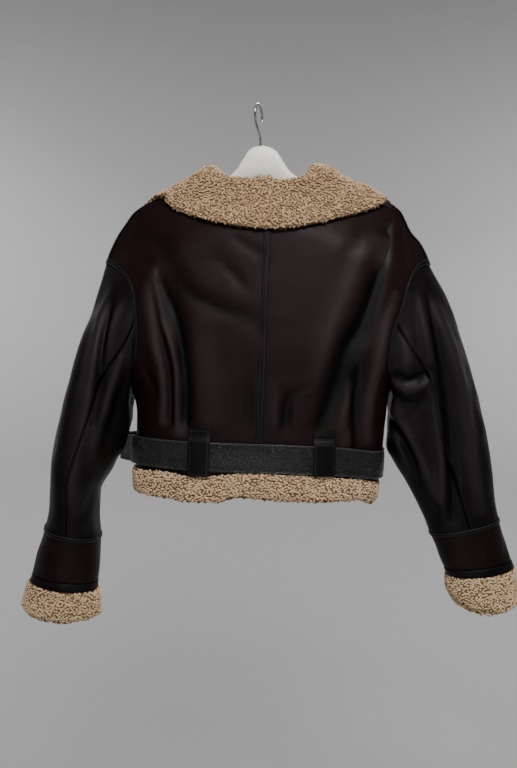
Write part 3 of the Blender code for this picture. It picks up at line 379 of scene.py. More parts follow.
def turnAt(x, z):                    # the turn, on the back, of a place seen from behind
    middle, half = middleAndHalf(z)
    return np.degrees(np.arcsin(np.clip((x - middle) / half, -1, 1)))


def xAt(turn, z):
    middle, half = middleAndHalf(z)
    return middle + half * np.sin(np.radians(turn))


# Finishes: groups that several materials share, then one function for each finish

def fill(tree, socket, value):       # value is a number, a colour or another node's output
    if isinstance(value, bpy.types.NodeSocket):
        tree.links.new(value, socket)
    else:
        socket.default_value = (*value, 1) if socket.type == "RGBA" else value


def setInputs(tree, node, **values):
    for key, value in values.items():
        fill(tree, node.inputs[key.replace("_", " ")], value)


def addNode(tree, kind, *inputs, **values):
    # inputs go to the node's first sockets, values to its settings or to sockets by name
    node = tree.nodes.new(kind)
    for key, value in values.items():
        if hasattr(node, key):
            setattr(node, key, value)
        else:
            setInputs(tree, node, **{key: value})
    for socket, value in zip(node.inputs, inputs):
        fill(tree, socket, value)
    return node


def newGroup(name, inputs, outputs):
    group = bpy.data.node_groups.new(name, "ShaderNodeTree")
    group.interface.new_socket("Vector", in_out="INPUT", socket_type="NodeSocketVector")
    for label, value in inputs.items():
        socket = group.interface.new_socket(label, in_out="INPUT", socket_type="NodeSocketFloat")
        socket.default_value = value
    for label in outputs:
        group.interface.new_socket(label, in_out="OUTPUT", socket_type="NodeSocketFloat")
    start, end = group.nodes.new("NodeGroupInput"), group.nodes.new("NodeGroupOutput")
    return group, start.outputs, end


def makeGrainGroup():                # rounded cells with creases between them, for leather
    group, start, end = newGroup("leatherGrain", {"Scale": 800.0, "Wander": 0.35},
                                 ("Height", "Creases"))
    wander = addNode(group, "ShaderNodeTexNoise", start["Vector"], Scale=180.0, Detail=2.0)
    reach = addNode(group, "ShaderNodeMath", start["Wander"], 0.004, operation="MULTIPLY")
    shift = addNode(group, "ShaderNodeVectorMath", wander.outputs["Color"], operation="SCALE",
                    Scale=reach.outputs[0])
    moved = addNode(group, "ShaderNodeVectorMath", start["Vector"], shift.outputs[0],
                    operation="ADD").outputs[0]
    cells = addNode(group, "ShaderNodeTexVoronoi", moved, feature="DISTANCE_TO_EDGE",
                    Scale=start["Scale"])
    rounded = addNode(group, "ShaderNodeMapRange", cells.outputs["Distance"],
                      interpolation_type="SMOOTHSTEP", From_Max=0.22).outputs["Result"]
    fine = addNode(group, "ShaderNodeTexNoise", moved, Scale=1700.0, Detail=1.0)
    height = addNode(group, "ShaderNodeMath", fine.outputs["Fac"], 0.25, rounded,
                     operation="MULTIPLY_ADD")
    creases = addNode(group, "ShaderNodeMath", 1.0, rounded, operation="SUBTRACT")
    setInputs(group, end, Height=height.outputs[0], Creases=creases.outputs[0])
    return group


def makePatchGroup():                # large soft patches with small flecks, for colour
    group, start, end = newGroup("softPatches", {"Size": 7.0, "Flecks": 0.3}, ("Mixed",))
    large = addNode(group, "ShaderNodeTexNoise", start["Vector"], Scale=start["Size"], Detail=3.0,
                    Roughness=0.55)
    spread = addNode(group, "ShaderNodeMapRange", large.outputs["Fac"], 0.32, 0.68,
                     interpolation_type="SMOOTHSTEP")
    small = addNode(group, "ShaderNodeTexNoise", start["Vector"], Scale=95.0, Detail=4.0,
                    Roughness=0.6)
    blend = addNode(group, "ShaderNodeMix", data_type="FLOAT", Factor=start["Flecks"],
                    A=spread.outputs["Result"], B=small.outputs["Fac"])
    setInputs(group, end, Mixed=blend.outputs["Result"])
    return group


grainGroup = makeGrainGroup()
patchGroup = makePatchGroup()


def newMaterial(name, **values):
    finish = bpy.data.materials.new(name)
    finish.use_nodes = True
    tree = finish.node_tree
    shader = tree.nodes["Principled BSDF"]
    setInputs(tree, shader, **values)
    place = tree.nodes.new("ShaderNodeTexCoord").outputs["Object"]
    return finish, tree, shader, place


def addGroup(tree, group, place, **values):
    node = tree.nodes.new("ShaderNodeGroup")
    node.node_tree = group
    setInputs(tree, node, Vector=place, **values)
    return node.outputs


def addNoise(tree, place, scale, detail):
    return addNode(tree, "ShaderNodeTexNoise", place, Scale=scale, Detail=detail).outputs["Fac"]


def mixColours(tree, factor, first, second):
    return addNode(tree, "ShaderNodeMix", data_type="RGBA", Factor=factor, A=first,
                   B=second).outputs["Result"]


def mapValue(tree, value, low, high, fromLow=0.0, fromHigh=1.0):
    return addNode(tree, "ShaderNodeMapRange", value, fromLow, fromHigh, low,
                   high).outputs["Result"]


def addBump(tree, shader, height, strength, distance, **before):
    bump = addNode(tree, "ShaderNodeBump", Strength=strength, Distance=distance, Height=height,
                   **before)
    setInputs(tree, shader, Normal=bump.outputs["Normal"])
    return bump.outputs["Normal"]


def readAttribute(tree, name):
    return addNode(tree, "ShaderNodeAttribute", attribute_name=name).outputs["Fac"]


# in each look, the last colour is a painted highlight laid on the tops of folds
leatherLook = {
    "body": {"dark": (0.0010, 0.0007, 0.0008), "middle": (0.0118, 0.0032, 0.0040),
             "worn": (0.0172, 0.0058, 0.0068), "paintedRidgeHighlight": (0.0300, 0.0200, 0.0210)},
    # the sleeves' look is the body's leather made darker: a painted shade for the sleeves
    "sleeve": {"dark": (0.0008, 0.0007, 0.0008), "middle": (0.0052, 0.0030, 0.0036),
               "worn": (0.0085, 0.0056, 0.0062), "paintedRidgeHighlight": (0.0250, 0.0190, 0.0205)},
    "roughness": (0.30, 0.42), "shine": 0.125,
    "patchSize": 6.5, "flecks": 0.22,
    "streaks": (26.0, 26.0, 520.0),  # short brushed lines that run level
    "grainScale": 780.0, "grainBump": 0.55, "grainDepth": 0.00016,
    "softScale": 60.0, "softBump": 0.10, "softDepth": 0.0010,
}


def makeLeather(name, look):         # darker at the seams, with painted shade in the fold valleys and a painted highlight on the fold ridges
    low, high = leatherLook["roughness"]
    finish, tree, shader, place = newMaterial(name, Specular_IOR_Level=leatherLook["shine"])
    patches = addGroup(tree, patchGroup, place, Size=leatherLook["patchSize"],
                       Flecks=leatherLook["flecks"])["Mixed"]
    grain = addGroup(tree, grainGroup, place, Scale=leatherLook["grainScale"])
    level = addNode(tree, "ShaderNodeVectorMath", place, leatherLook["streaks"],
                    operation="MULTIPLY")
    brushed = addNoise(tree, level.outputs[0], 1.0, 2.0)
    ridge, seam = readAttribute(tree, "ridge"), readAttribute(tree, "seam")
    base = mixColours(tree, patches, look["middle"], look["worn"])
    # the second and third marks are painted light: shade in the fold valleys, a highlight on the fold
    # ridges
    for share, colour in ((mapValue(tree, brushed, 0.45, 0.0, 0.35, 0.60), "dark"),
                          (mapValue(tree, ridge, 0.97, 0.0, 0.0, 0.38), "dark"),
                          (mapValue(tree, ridge, 0.0, 0.9, 0.45, 1.0), "paintedRidgeHighlight"),
                          (mapValue(tree, seam, 0.0, 0.85), "dark"),
                          (mapValue(tree, grain["Creases"], 0.0, 0.45), "dark")):
        base = mixColours(tree, share, base, look[colour])
    setInputs(tree, shader, Base_Color=base, Roughness=mapValue(tree, patches, high, low))
    soft = addBump(tree, shader, addNoise(tree, place, leatherLook["softScale"], 3.0),
                   leatherLook["softBump"], leatherLook["softDepth"])
    addBump(tree, shader, grain["Height"], leatherLook["grainBump"], leatherLook["grainDepth"],
            Normal=soft)
    return finish


trimLook = {
    "tape": {"dark": (0.0020, 0.0018, 0.0022), "light": (0.0050, 0.0042, 0.0048),
             "roughness": (0.30, 0.46), "shine": 0.14,
             "grainScale": 900.0, "grainBump": 0.5, "grainDepth": 0.00014},
    "belt": {"dark": (0.0032, 0.0034, 0.0044), "light": (0.0080, 0.0082, 0.0100),
             "roughness": (0.20, 0.44), "shine": 0.50,
             "grainScale": 400.0, "grainBump": 1.0, "grainDepth": 0.00070},
    "rim": (0.060, 0.062, 0.068),    # where a strap's folded edge catches the light
    "creaseDark": 0.4, "patchSize": 22.0, "flecks": 0.4, "wander": 0.6,
}


def makeTrimLeather(name, look):
    finish, tree, shader, place = newMaterial(name, Specular_IOR_Level=look["shine"])
    patches = addGroup(tree, patchGroup, place, Size=trimLook["patchSize"],
                       Flecks=trimLook["flecks"])["Mixed"]
    grain = addGroup(tree, grainGroup, place, Scale=look["grainScale"], Wander=trimLook["wander"])
    base = mixColours(tree, patches, look["dark"], look["light"])
    base = mixColours(tree, mapValue(tree, grain["Creases"], 0.0, 0.6), base,
                      tuple(c * trimLook["creaseDark"] for c in look["dark"]))
    rim = mapValue(tree, readAttribute(tree, "rim"), 0.0, 0.8)
    base = mixColours(tree, rim, base, trimLook["rim"])
    setInputs(tree, shader, Base_Color=base,
              Roughness=mapValue(tree, grain["Creases"], *look["roughness"]))
    addBump(tree, shader, grain["Height"], look["grainBump"], look["grainDepth"])
    return finish


pileLook = {
    # root is a painted shade colour: the dark low on the curls and in the gaps between them
    "root": (0.105, 0.062, 0.031), "middle": (0.390, 0.258, 0.142), "tip": (0.790, 0.570, 0.365),
    "warm": (0.430, 0.270, 0.138), "rootEnds": (0.12, 0.52),
    "fibreScale": 1500.0, "lumpScale": 230.0,
}


def makePile():                      # the curls: a painted shade darkens each one towards its root; each has its own tone
    finish, tree, shader, place = newMaterial(
        "curlyPile", Roughness=0.88, Specular_IOR_Level=0.15, Sheen_Weight=0.12,
        Sheen_Roughness=0.5)
    tip, tone = readAttribute(tree, "tip"), readAttribute(tree, "tone")
    upper = mixColours(tree, tone, pileLook["middle"], pileLook["tip"])
    patches = addGroup(tree, patchGroup, place, Size=14.0, Flecks=0.35)["Mixed"]
    upper = mixColours(tree, mapValue(tree, patches, 0.0, 0.45), upper, pileLook["warm"])
    # painted shade: low on each curl the colour goes to the dark root colour
    base = mixColours(tree, mapValue(tree, tip, 0.0, 1.0, *pileLook["rootEnds"]),
                      pileLook["root"], upper)
    setInputs(tree, shader, Base_Color=base)
    addBump(tree, shader, addNoise(tree, place, pileLook["fibreScale"], 2.0), 0.6, 0.0004)
    return finish


def makePileGround():                # what shows between the curls, and the jacket's lining; its dark brown, darker between the lumps, is mostly a painted shade for the gaps between the curls
    finish, tree, shader, place = newMaterial("pileGround", Roughness=0.95,
                                              Specular_IOR_Level=0.1)
    cells = addNode(tree, "ShaderNodeTexVoronoi", place, Scale=pileLook["lumpScale"],
                    feature="SMOOTH_F1", Smoothness=0.4)
    # darker between the lumps, towards the root colour: painted shade
    lumps = mapValue(tree, cells.outputs["Distance"], 1.0, 0.25, 0.1, 0.75)
    base = mixColours(tree, lumps, pileLook["root"], pileLook["middle"])
    patches = addGroup(tree, patchGroup, place, Size=20.0, Flecks=0.5)["Mixed"]
    base = mixColours(tree, mapValue(tree, patches, 0.0, 0.4), base, pileLook["root"])
    setInputs(tree, shader, Base_Color=base)
    addBump(tree, shader, lumps, 0.9, 0.0022)
    return finish


hardLook = {
    "hanger": {"colours": ((0.82, 0.785, 0.74), (0.88, 0.85, 0.81)), "roughness": (0.30, 0.46),
               "fineScale": 260.0, "bump": 0.15, "depth": 0.0002},
    "steel": {"colours": ((0.24, 0.24, 0.245), (0.42, 0.42, 0.43)), "roughness": (0.16, 0.34),
              "fineScale": 420.0, "bump": 0.2, "depth": 0.0001},
    "thread": {"colours": ((0.012, 0.010, 0.011), (0.040, 0.034, 0.034)),
               "twistScale": 900.0, "bump": 0.4, "depth": 0.0002},
}


def makeHangerFinish():
    look = hardLook["hanger"]
    finish, tree, shader, place = newMaterial("whiteHanger", Specular_IOR_Level=0.45)
    patches = addGroup(tree, patchGroup, place, Size=18.0, Flecks=0.5)["Mixed"]
    fine = addNoise(tree, place, look["fineScale"], 4.0)
    setInputs(tree, shader, Base_Color=mixColours(tree, patches, *look["colours"]),
              Roughness=mapValue(tree, fine, *look["roughness"]))
    addBump(tree, shader, fine, look["bump"], look["depth"])
    return finish


def makeSteel():
    look = hardLook["steel"]
    finish, tree, shader, place = newMaterial("steelWire", Metallic=1.0)
    fine = addNoise(tree, place, look["fineScale"], 3.0)
    setInputs(tree, shader, Base_Color=mixColours(tree, fine, *look["colours"]),
              Roughness=mapValue(tree, fine, *look["roughness"]))
    addBump(tree, shader, fine, look["bump"], look["depth"])
    return finish


def makeThread():
    look = hardLook["thread"]
    finish, tree, shader, place = newMaterial("darkThread", Roughness=0.6, Sheen_Weight=0.3)
    twist = addNode(tree, "ShaderNodeTexWave", place, Scale=look["twistScale"],
                    bands_direction="DIAGONAL").outputs["Fac"]
    setInputs(tree, shader, Base_Color=mixColours(tree, twist, *look["colours"]))
    addBump(tree, shader, twist, look["bump"], look["depth"])
    return finish


leather = makeLeather("burgundyLeather", leatherLook["body"])
# the body's leather with a painted shade, for the sleeves
sleeveLeather = makeLeather("burgundyLeatherPaintedShade", leatherLook["sleeve"])
tapeLeather = makeTrimLeather("tapeLeather", trimLook["tape"])
beltLeather = makeTrimLeather("beltLeather", trimLook["belt"])
pile = makePile()
pileGround = makePileGround()
hangerFinish = makeHangerFinish()
steel = makeSteel()
thread = makeThread()
print("finishes made")


# Meshes from grids of points

def gridMesh(points, closed=False, marks=None):
    rows, columns = points.shape[:2]
    made = bmesh.new()
    bmesh.ops.create_grid(made, x_segments=columns - 1, y_segments=rows - 1, size=0.5,
                          calc_uvs=True)
    layers = {key: made.verts.layers.float.new(key) for key in marks or {}}
    for vert in made.verts:
        c = round((vert.co.x + 0.5) * (columns - 1))
        r = round((vert.co.y + 0.5) * (rows - 1))
        vert.co = points[r, c]
        for key, layer in layers.items():
            vert[layer] = marks[key][r, c]
    if closed:
        bmesh.ops.remove_doubles(made, verts=made.verts, dist=1e-6)
    return made


def closeEnds(made):
    bmesh.ops.holes_fill(made, edges=[e for e in made.edges if e.is_boundary], sides=0)


def linkPiece(name, data):
    piece = bpy.data.objects.new(name, data)
    bpy.context.scene.collection.objects.link(piece)
    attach(piece, "root")
    return piece


def addPiece(name, made, finishes, outward=None):
    if outward is not None:          # gives the direction that faces near a place must look
        made.normal_update()
        facing = sum(f.normal.dot(outward(f.calc_center_median())) * f.calc_area()
                     for f in made.faces)
        if facing < 0:
            bmesh.ops.reverse_faces(made, faces=made.faces)
    mesh = bpy.data.meshes.new(name)
    made.to_mesh(mesh)
    made.free()
    for finish in finishes:
        mesh.materials.append(finish)
    mesh.shade_smooth()
    return linkPiece(name, mesh)


def addPile(name, node, points, away, finishes):
    made = gridMesh(points, closed=True)
    closeEnds(made)
    piece = addPiece(name, made, finishes, outFromGrid(points, away))
    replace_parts(piece, node)


def addWire(name, node, points, radius, closed):
    curve = bpy.data.curves.new(name, "CURVE")
    curve.dimensions = "3D"
    curve.bevel_depth = radius
    curve.bevel_resolution = 4
    curve.use_fill_caps = not closed
    spline = curve.splines.new("POLY")
    spline.points.add(len(points) - 1)
    for spot, place in zip(spline.points, points):
        spot.co = (*place, 1)
    spline.use_cyclic_u = closed
    curve.materials.append(steel)
    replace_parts(linkPiece(name, curve), node)


def addWall(piece, thickness, inside=0):     # inside is the finish of the hidden side
    wall = piece.modifiers.new("wall", "SOLIDIFY")
    wall.thickness = thickness
    wall.offset = -1
    wall.material_offset = inside


def addBevel(piece, width, segments=2):
    edge = piece.modifiers.new("edge", "BEVEL")
    edge.width = width
    edge.segments = segments
    edge.limit_method = "ANGLE"
    edge.angle_limit = math.radians(50)


def atGarment(points):
    return points + np.array([garmentX, 0, 0])


def outFromGrid(points, normals):    # which way a piece's faces must point
    flat, away = points.reshape(-1, 3), normals.reshape(-1, 3)
    every = max(1, len(flat) // 400)
    flat, away = flat[::every], away[::every]

    def direction(place):
        near = np.argmin(((flat - np.array(place)) ** 2).sum(axis=1))
        return Vector(away[near])
    return direction


def seamMarks(rows, columns, width, height, reach=0.007, sides=(1, 1, 1, 1)):
    # 1 at the piece's edges, fading inwards; sides are first row, last row, first and last column
    r, c = rows[:, None] * height, columns[None, :] * width
    far = np.ones((len(rows), len(columns)))
    gaps = [far * gap if seamed else far
            for seamed, gap in zip(sides, (r, height - r, c, width - c))]
    return np.clip(1 - np.minimum.reduce(gaps) / reach, 0, 1)


def seamDip(seam):                   # how far a seam draws the leather in, from 0 to 1
    return ease(seam * 1.2 - 0.35)


# Curls and stitches: one small shape, set down many times

def beanShape(bend, around, along, wide):
    made = bmesh.new()
    bmesh.ops.create_uvsphere(made, u_segments=around, v_segments=along, radius=1.0)
    radius = 1 / bend
    for vert in made.verts:
        angle = bend * vert.co.z
        thick = wide * (1 - 0.2 * vert.co.z)         # one end is a little thinner
        x, y = vert.co.x * thick, vert.co.y * thick
        vert.co = Vector(((radius + x) * math.sin(angle), y, (radius + x) * math.cos(angle) - radius))
    made.verts.ensure_lookup_table()
    points = np.array([v.co for v in made.verts])
    faces = [[v.index for v in f.verts] for f in made.faces]
    made.free()
    return points, faces


spread = {"tries": 5, "least": 0.80}     # tries for each place, and the least gap in pitches


def evenSpots(points, normals, pitch, seed, keep):
    # spots spread evenly over a grid, never nearer each other than most of the pitch
    a, b = points[:-1, :-1], points[:-1, 1:]
    c, d = points[1:, :-1], points[1:, 1:]
    area = np.linalg.norm(np.cross(b - a, c - a), axis=-1)
    area = area * keep[:-1, :-1]
    dice = np.random.default_rng(seed)
    wanted = int(area.sum() / pitch ** 2 * spread["tries"])
    cells = dice.choice(area.size, wanted, p=(area / area.sum()).ravel())
    r, q = np.unravel_index(cells, area.shape)
    u, v = dice.random((2, wanted, 1))
    spots = (a[r, q] * (1 - u) * (1 - v) + b[r, q] * u * (1 - v)
             + c[r, q] * (1 - u) * v + d[r, q] * u * v)
    away = unit(normals[r, q] * (1 - u) + normals[r, q + 1] * u)
    run = unit(b[r, q] - a[r, q])
    least = pitch * spread["least"]
    around = [(i, j, m) for i in (-1, 0, 1) for j in (-1, 0, 1) for m in (-1, 0, 1)]
    taken, kept = {}, []
    for k, spot in enumerate(spots):
        key = tuple(np.floor(spot / least).astype(int))
        crowd = [n for i, j, m in around
                 for n in taken.get((key[0] + i, key[1] + j, key[2] + m), ())]
        if all(((spots[n] - spot) ** 2).sum() > least ** 2 for n in crowd):
            taken.setdefault(key, []).append(k)
            kept.append(k)
    return spots[kept], away[kept], run[kept]


def meshFromCopies(name, places, shape, finish, marks):
    # all copies of one shape as one mesh, far too many for an operator each
    points, faces = shape
    count = len(places)
    mesh = bpy.data.meshes.new(name)
    vertices = places.reshape(-1, 3)
    sizes = np.array([len(f) for f in faces])
    corners = np.concatenate(faces)
    loopsAt = (corners[None, :] + np.arange(count)[:, None] * len(points)).ravel()
    mesh.vertices.add(len(vertices))
    mesh.vertices.foreach_set("co", vertices.astype(np.float32).ravel())
    mesh.loops.add(len(loopsAt))
    mesh.loops.foreach_set("vertex_index", loopsAt.astype(np.int32))
    total = np.tile(sizes, count)
    mesh.polygons.add(len(total))
    mesh.polygons.foreach_set("loop_start", np.concatenate([[0], np.cumsum(total)[:-1]]))
    for key, values in marks.items():
        layer = mesh.attributes.new(key, "FLOAT", "POINT")
        layer.data.foreach_set("value", values.astype(np.float32).ravel())
    mesh.update(calc_edges=True)
    mesh.shade_smooth()
    mesh.materials.append(finish)
    linkPiece(name, mesh)


curls = {
    "pitch": 0.0040, "length": 0.0027, "lengths": (0.75, 1.25), "lift": 0.0010, "tilt": 18.0,
    # each curl's tone varies at random; this lighter range for the hem and cuffs, against the collar's
    # darker one, is painted light that makes up for how the light falls
    "swing": 65.0, "tall": 0.0030, "tones": (0.70, 1.0),
    "inset": 0.0026,                 # how far the pile's ground lies below the curls' tips
    "shape": beanShape(bend=0.6, around=6, along=4, wide=0.72),
}


def addCurls(name, points, normals, seed, keep, tones=curls["tones"]):
    spots, away, run = evenSpots(points, normals, curls["pitch"], seed, keep)
    dice = np.random.default_rng(seed + 1)
    count = len(spots)
    side = np.cross(away, run)
    angle = np.radians(dice.uniform(-curls["swing"], curls["swing"], (count, 1)))
    first = run * np.cos(angle) + side * np.sin(angle)
    second = np.cross(away, first)
    tilt = np.radians(dice.uniform(-curls["tilt"], curls["tilt"], (count, 1)))
    along = first * np.cos(tilt) + away * np.sin(tilt)
    up = np.cross(along, second) * -1
    up = up * np.sign(np.sum(up * away, axis=1, keepdims=True))
    size = curls["length"] * dice.uniform(*curls["lengths"], (count, 1, 1))
    shape, faces = curls["shape"]
    places = (spots[:, None] + away[:, None] * curls["lift"]
              + size * (shape[None, :, 0:1] * along[:, None] + shape[None, :, 1:2] * second[:, None]
                        + shape[None, :, 2:3] * up[:, None]))
    height = np.sum((places - spots[:, None]) * away[:, None], axis=-1)
    tip = np.clip(height / curls["tall"], 0, 1)
    tone = np.repeat(dice.uniform(*tones, (count, 1)), shape.shape[0], axis=1)
    print(name, count, "curls")
    meshFromCopies(name, places, (shape, faces), pile, {"tip": tip, "tone": tone})


stitches = {
    "length": 0.0031, "spacing": 0.0044, "radius": 0.00042, "flatness": 0.8, "lift": 0.00005,
    "wide": 0.36,                    # half width of the bean for a half length of 1
    "shape": beanShape(bend=0.5, around=5, along=4, wide=0.36),
}


def stitchPlaces(path, normals):
    # evenly spaced stitches along a line of points that lie on a surface
    way = wayAlong(path)
    count = max(2, int(way[-1] / stitches["spacing"]))
    at = (np.arange(count) + 0.5) * way[-1] / count
    spot, ahead = pointsAt(at, way, path), pointsAt(at + 0.001, way, path)
    away = unit(pointsAt(at, way, normals))
    along = unit(ahead - spot + 1e-9)
    second = np.cross(away, along)
    shape, _ = stitches["shape"]
    half = stitches["length"] / 2
    wide = stitches["radius"] / stitches["wide"]
    return (spot[:, None] + away[:, None] * stitches["lift"]
            + shape[None, :, 0:1] * along[:, None] * half
            + shape[None, :, 1:2] * second[:, None] * wide
            + shape[None, :, 2:3] * away[:, None] * wide * stitches["flatness"])


def addStitches(name, lines):
    places = np.concatenate([stitchPlaces(path, away) for path, away in lines])
    meshFromCopies(name, places, stitches["shape"], thread, {})


# Leather panels

def armholeEdge(hand, share):
    rows = body["armhole"][hand]
    lengths = np.hypot(np.diff(rows["x"]), np.diff(rows["z"]))
    at = np.concatenate([[0], np.cumsum(lengths)]) / lengths.sum()
    fine = np.linspace(0, 1, body["edgeSteps"])
    fineX, fineZ = through(fine, at, rows["x"]), through(fine, at, rows["z"])
    finePoints = bodySurface(turnAt(fineX, fineZ), fineZ)[0]
    steps = np.linalg.norm(np.diff(finePoints, axis=0), axis=1)
    walked = np.concatenate([[0], np.cumsum(steps)]) / steps.sum()
    x, z = np.interp(share, walked, fineX), np.interp(share, walked, fineZ)
    turn = turnAt(x, z)
    turn = np.where(np.asarray(share) < 1e-6, 90.0 * hand, turn)
    return np.where(np.asarray(share) > 1 - 1e-6, 90.0 * hand, turn), z


def neckSeam(turn):                  # turn and height on the body: 0 is the centre back
    neck = body["neck"]
    sine, cosine = np.sin(np.radians(turn)), np.cos(np.radians(turn))
    sideZ = np.where(sine > 0, neck["leftZ"], neck["rightZ"])
    outline = body["outline"]
    sideX = np.where(sine > 0, read(outline, "z", "left", neck["leftZ"]),
                     read(outline, "z", "right", neck["rightZ"]))
    low = np.where(cosine > 0, neck["backZ"], neck["frontZ"])
    z = sideZ + (low - sideZ) * np.abs(cosine) ** 1.3
    x = neck["middleX"] + (sideX - neck["middleX"]) * np.abs(sine)
    onBack = np.where(np.abs(cosine) < 1e-6, np.sign(sine) * 90.0, turnAt(x, z))
    return np.where(cosine > 0, onBack, np.sign(sine) * 180.0 - onBack), z


def hemLine(hand, columns):
    turn = 90.0 * columns
    return turn, read(body["hem"], "x", "leather", xAt(turn * hand, body["hemZ"]))


def topLine(hand, side, columns):    # along the neck seam, then down the shoulder seam
    share = body["neckShare"]
    roundNeck = 90.0 * np.clip(columns / share, 1e-4, 1)
    roundNeck = roundNeck if side > 0 else 180.0 - roundNeck
    turn, z = neckSeam(roundNeck * hand)
    turn = turn * hand if side > 0 else 180.0 - turn * hand
    outerZ = neckSeam(np.array(90.0 * hand))[1]
    down = np.clip((columns - share) / (1 - share), 0, 1)
    shoulderZ = outerZ + (body["shoulderZ"][hand] - outerZ) * down
    return np.where(columns < share, turn, 90.0), np.where(columns < share, z, shoulderZ)


def panelPlaces(hand, side, columns, rows):
    # turns and heights of a half panel: rows from the hem up, columns outwards
    s, t = np.asarray(columns, float)[None, :], np.asarray(rows, float)[:, None]
    ends = np.array([0.0, 1.0])
    hemEnds, topEnds = hemLine(hand, ends), topLine(hand, side, ends)
    startX = xAt(0.0, hemEnds[1][0])
    centreX = startX + (body["neck"]["middleX"] - startX) * t
    centreZ = hemEnds[1][0] + (topEnds[1][0] - hemEnds[1][0]) * t
    centreTurn = turnAt(centreX, centreZ) * hand
    sideTop = body["sideRows"] / (body["sideRows"] + body["armholeRows"])
    edgeTurn, edgeZ = armholeEdge(hand, 1 - np.clip((t - sideTop) / (1 - sideTop), 0, 1))
    edgeTurn = np.where(t <= sideTop + 1e-6, 90.0, np.abs(edgeTurn))
    sideZ = hemEnds[1][1] + (body["underarmZ"] - hemEnds[1][1]) * t / sideTop
    edgeZ = np.where(t <= sideTop, sideZ, edgeZ)

    def blend(first, last, k):
        hem, top = hemLine(hand, s)[k], topLine(hand, side, s)[k]
        hemBend = hem - (hemEnds[k][0] + (hemEnds[k][1] - hemEnds[k][0]) * s)
        topBend = top - (topEnds[k][0] + (topEnds[k][1] - topEnds[k][0]) * s)
        return (1 - s) * first + s * last + (1 - t) ** 3 * hemBend + t ** 3 * topBend

    turn, z = blend(centreTurn, edgeTurn, 0), blend(centreZ, edgeZ, 1)
    turn = turn if side > 0 else 180.0 - turn
    return turn * hand, z


def evenWith(wanted, count):         # even steps from 0 to 1 that hit the wanted places
    steps = np.linspace(0, 1, count)
    for place in wanted:
        steps[np.argmin(np.abs(steps - place))] = place
    return steps


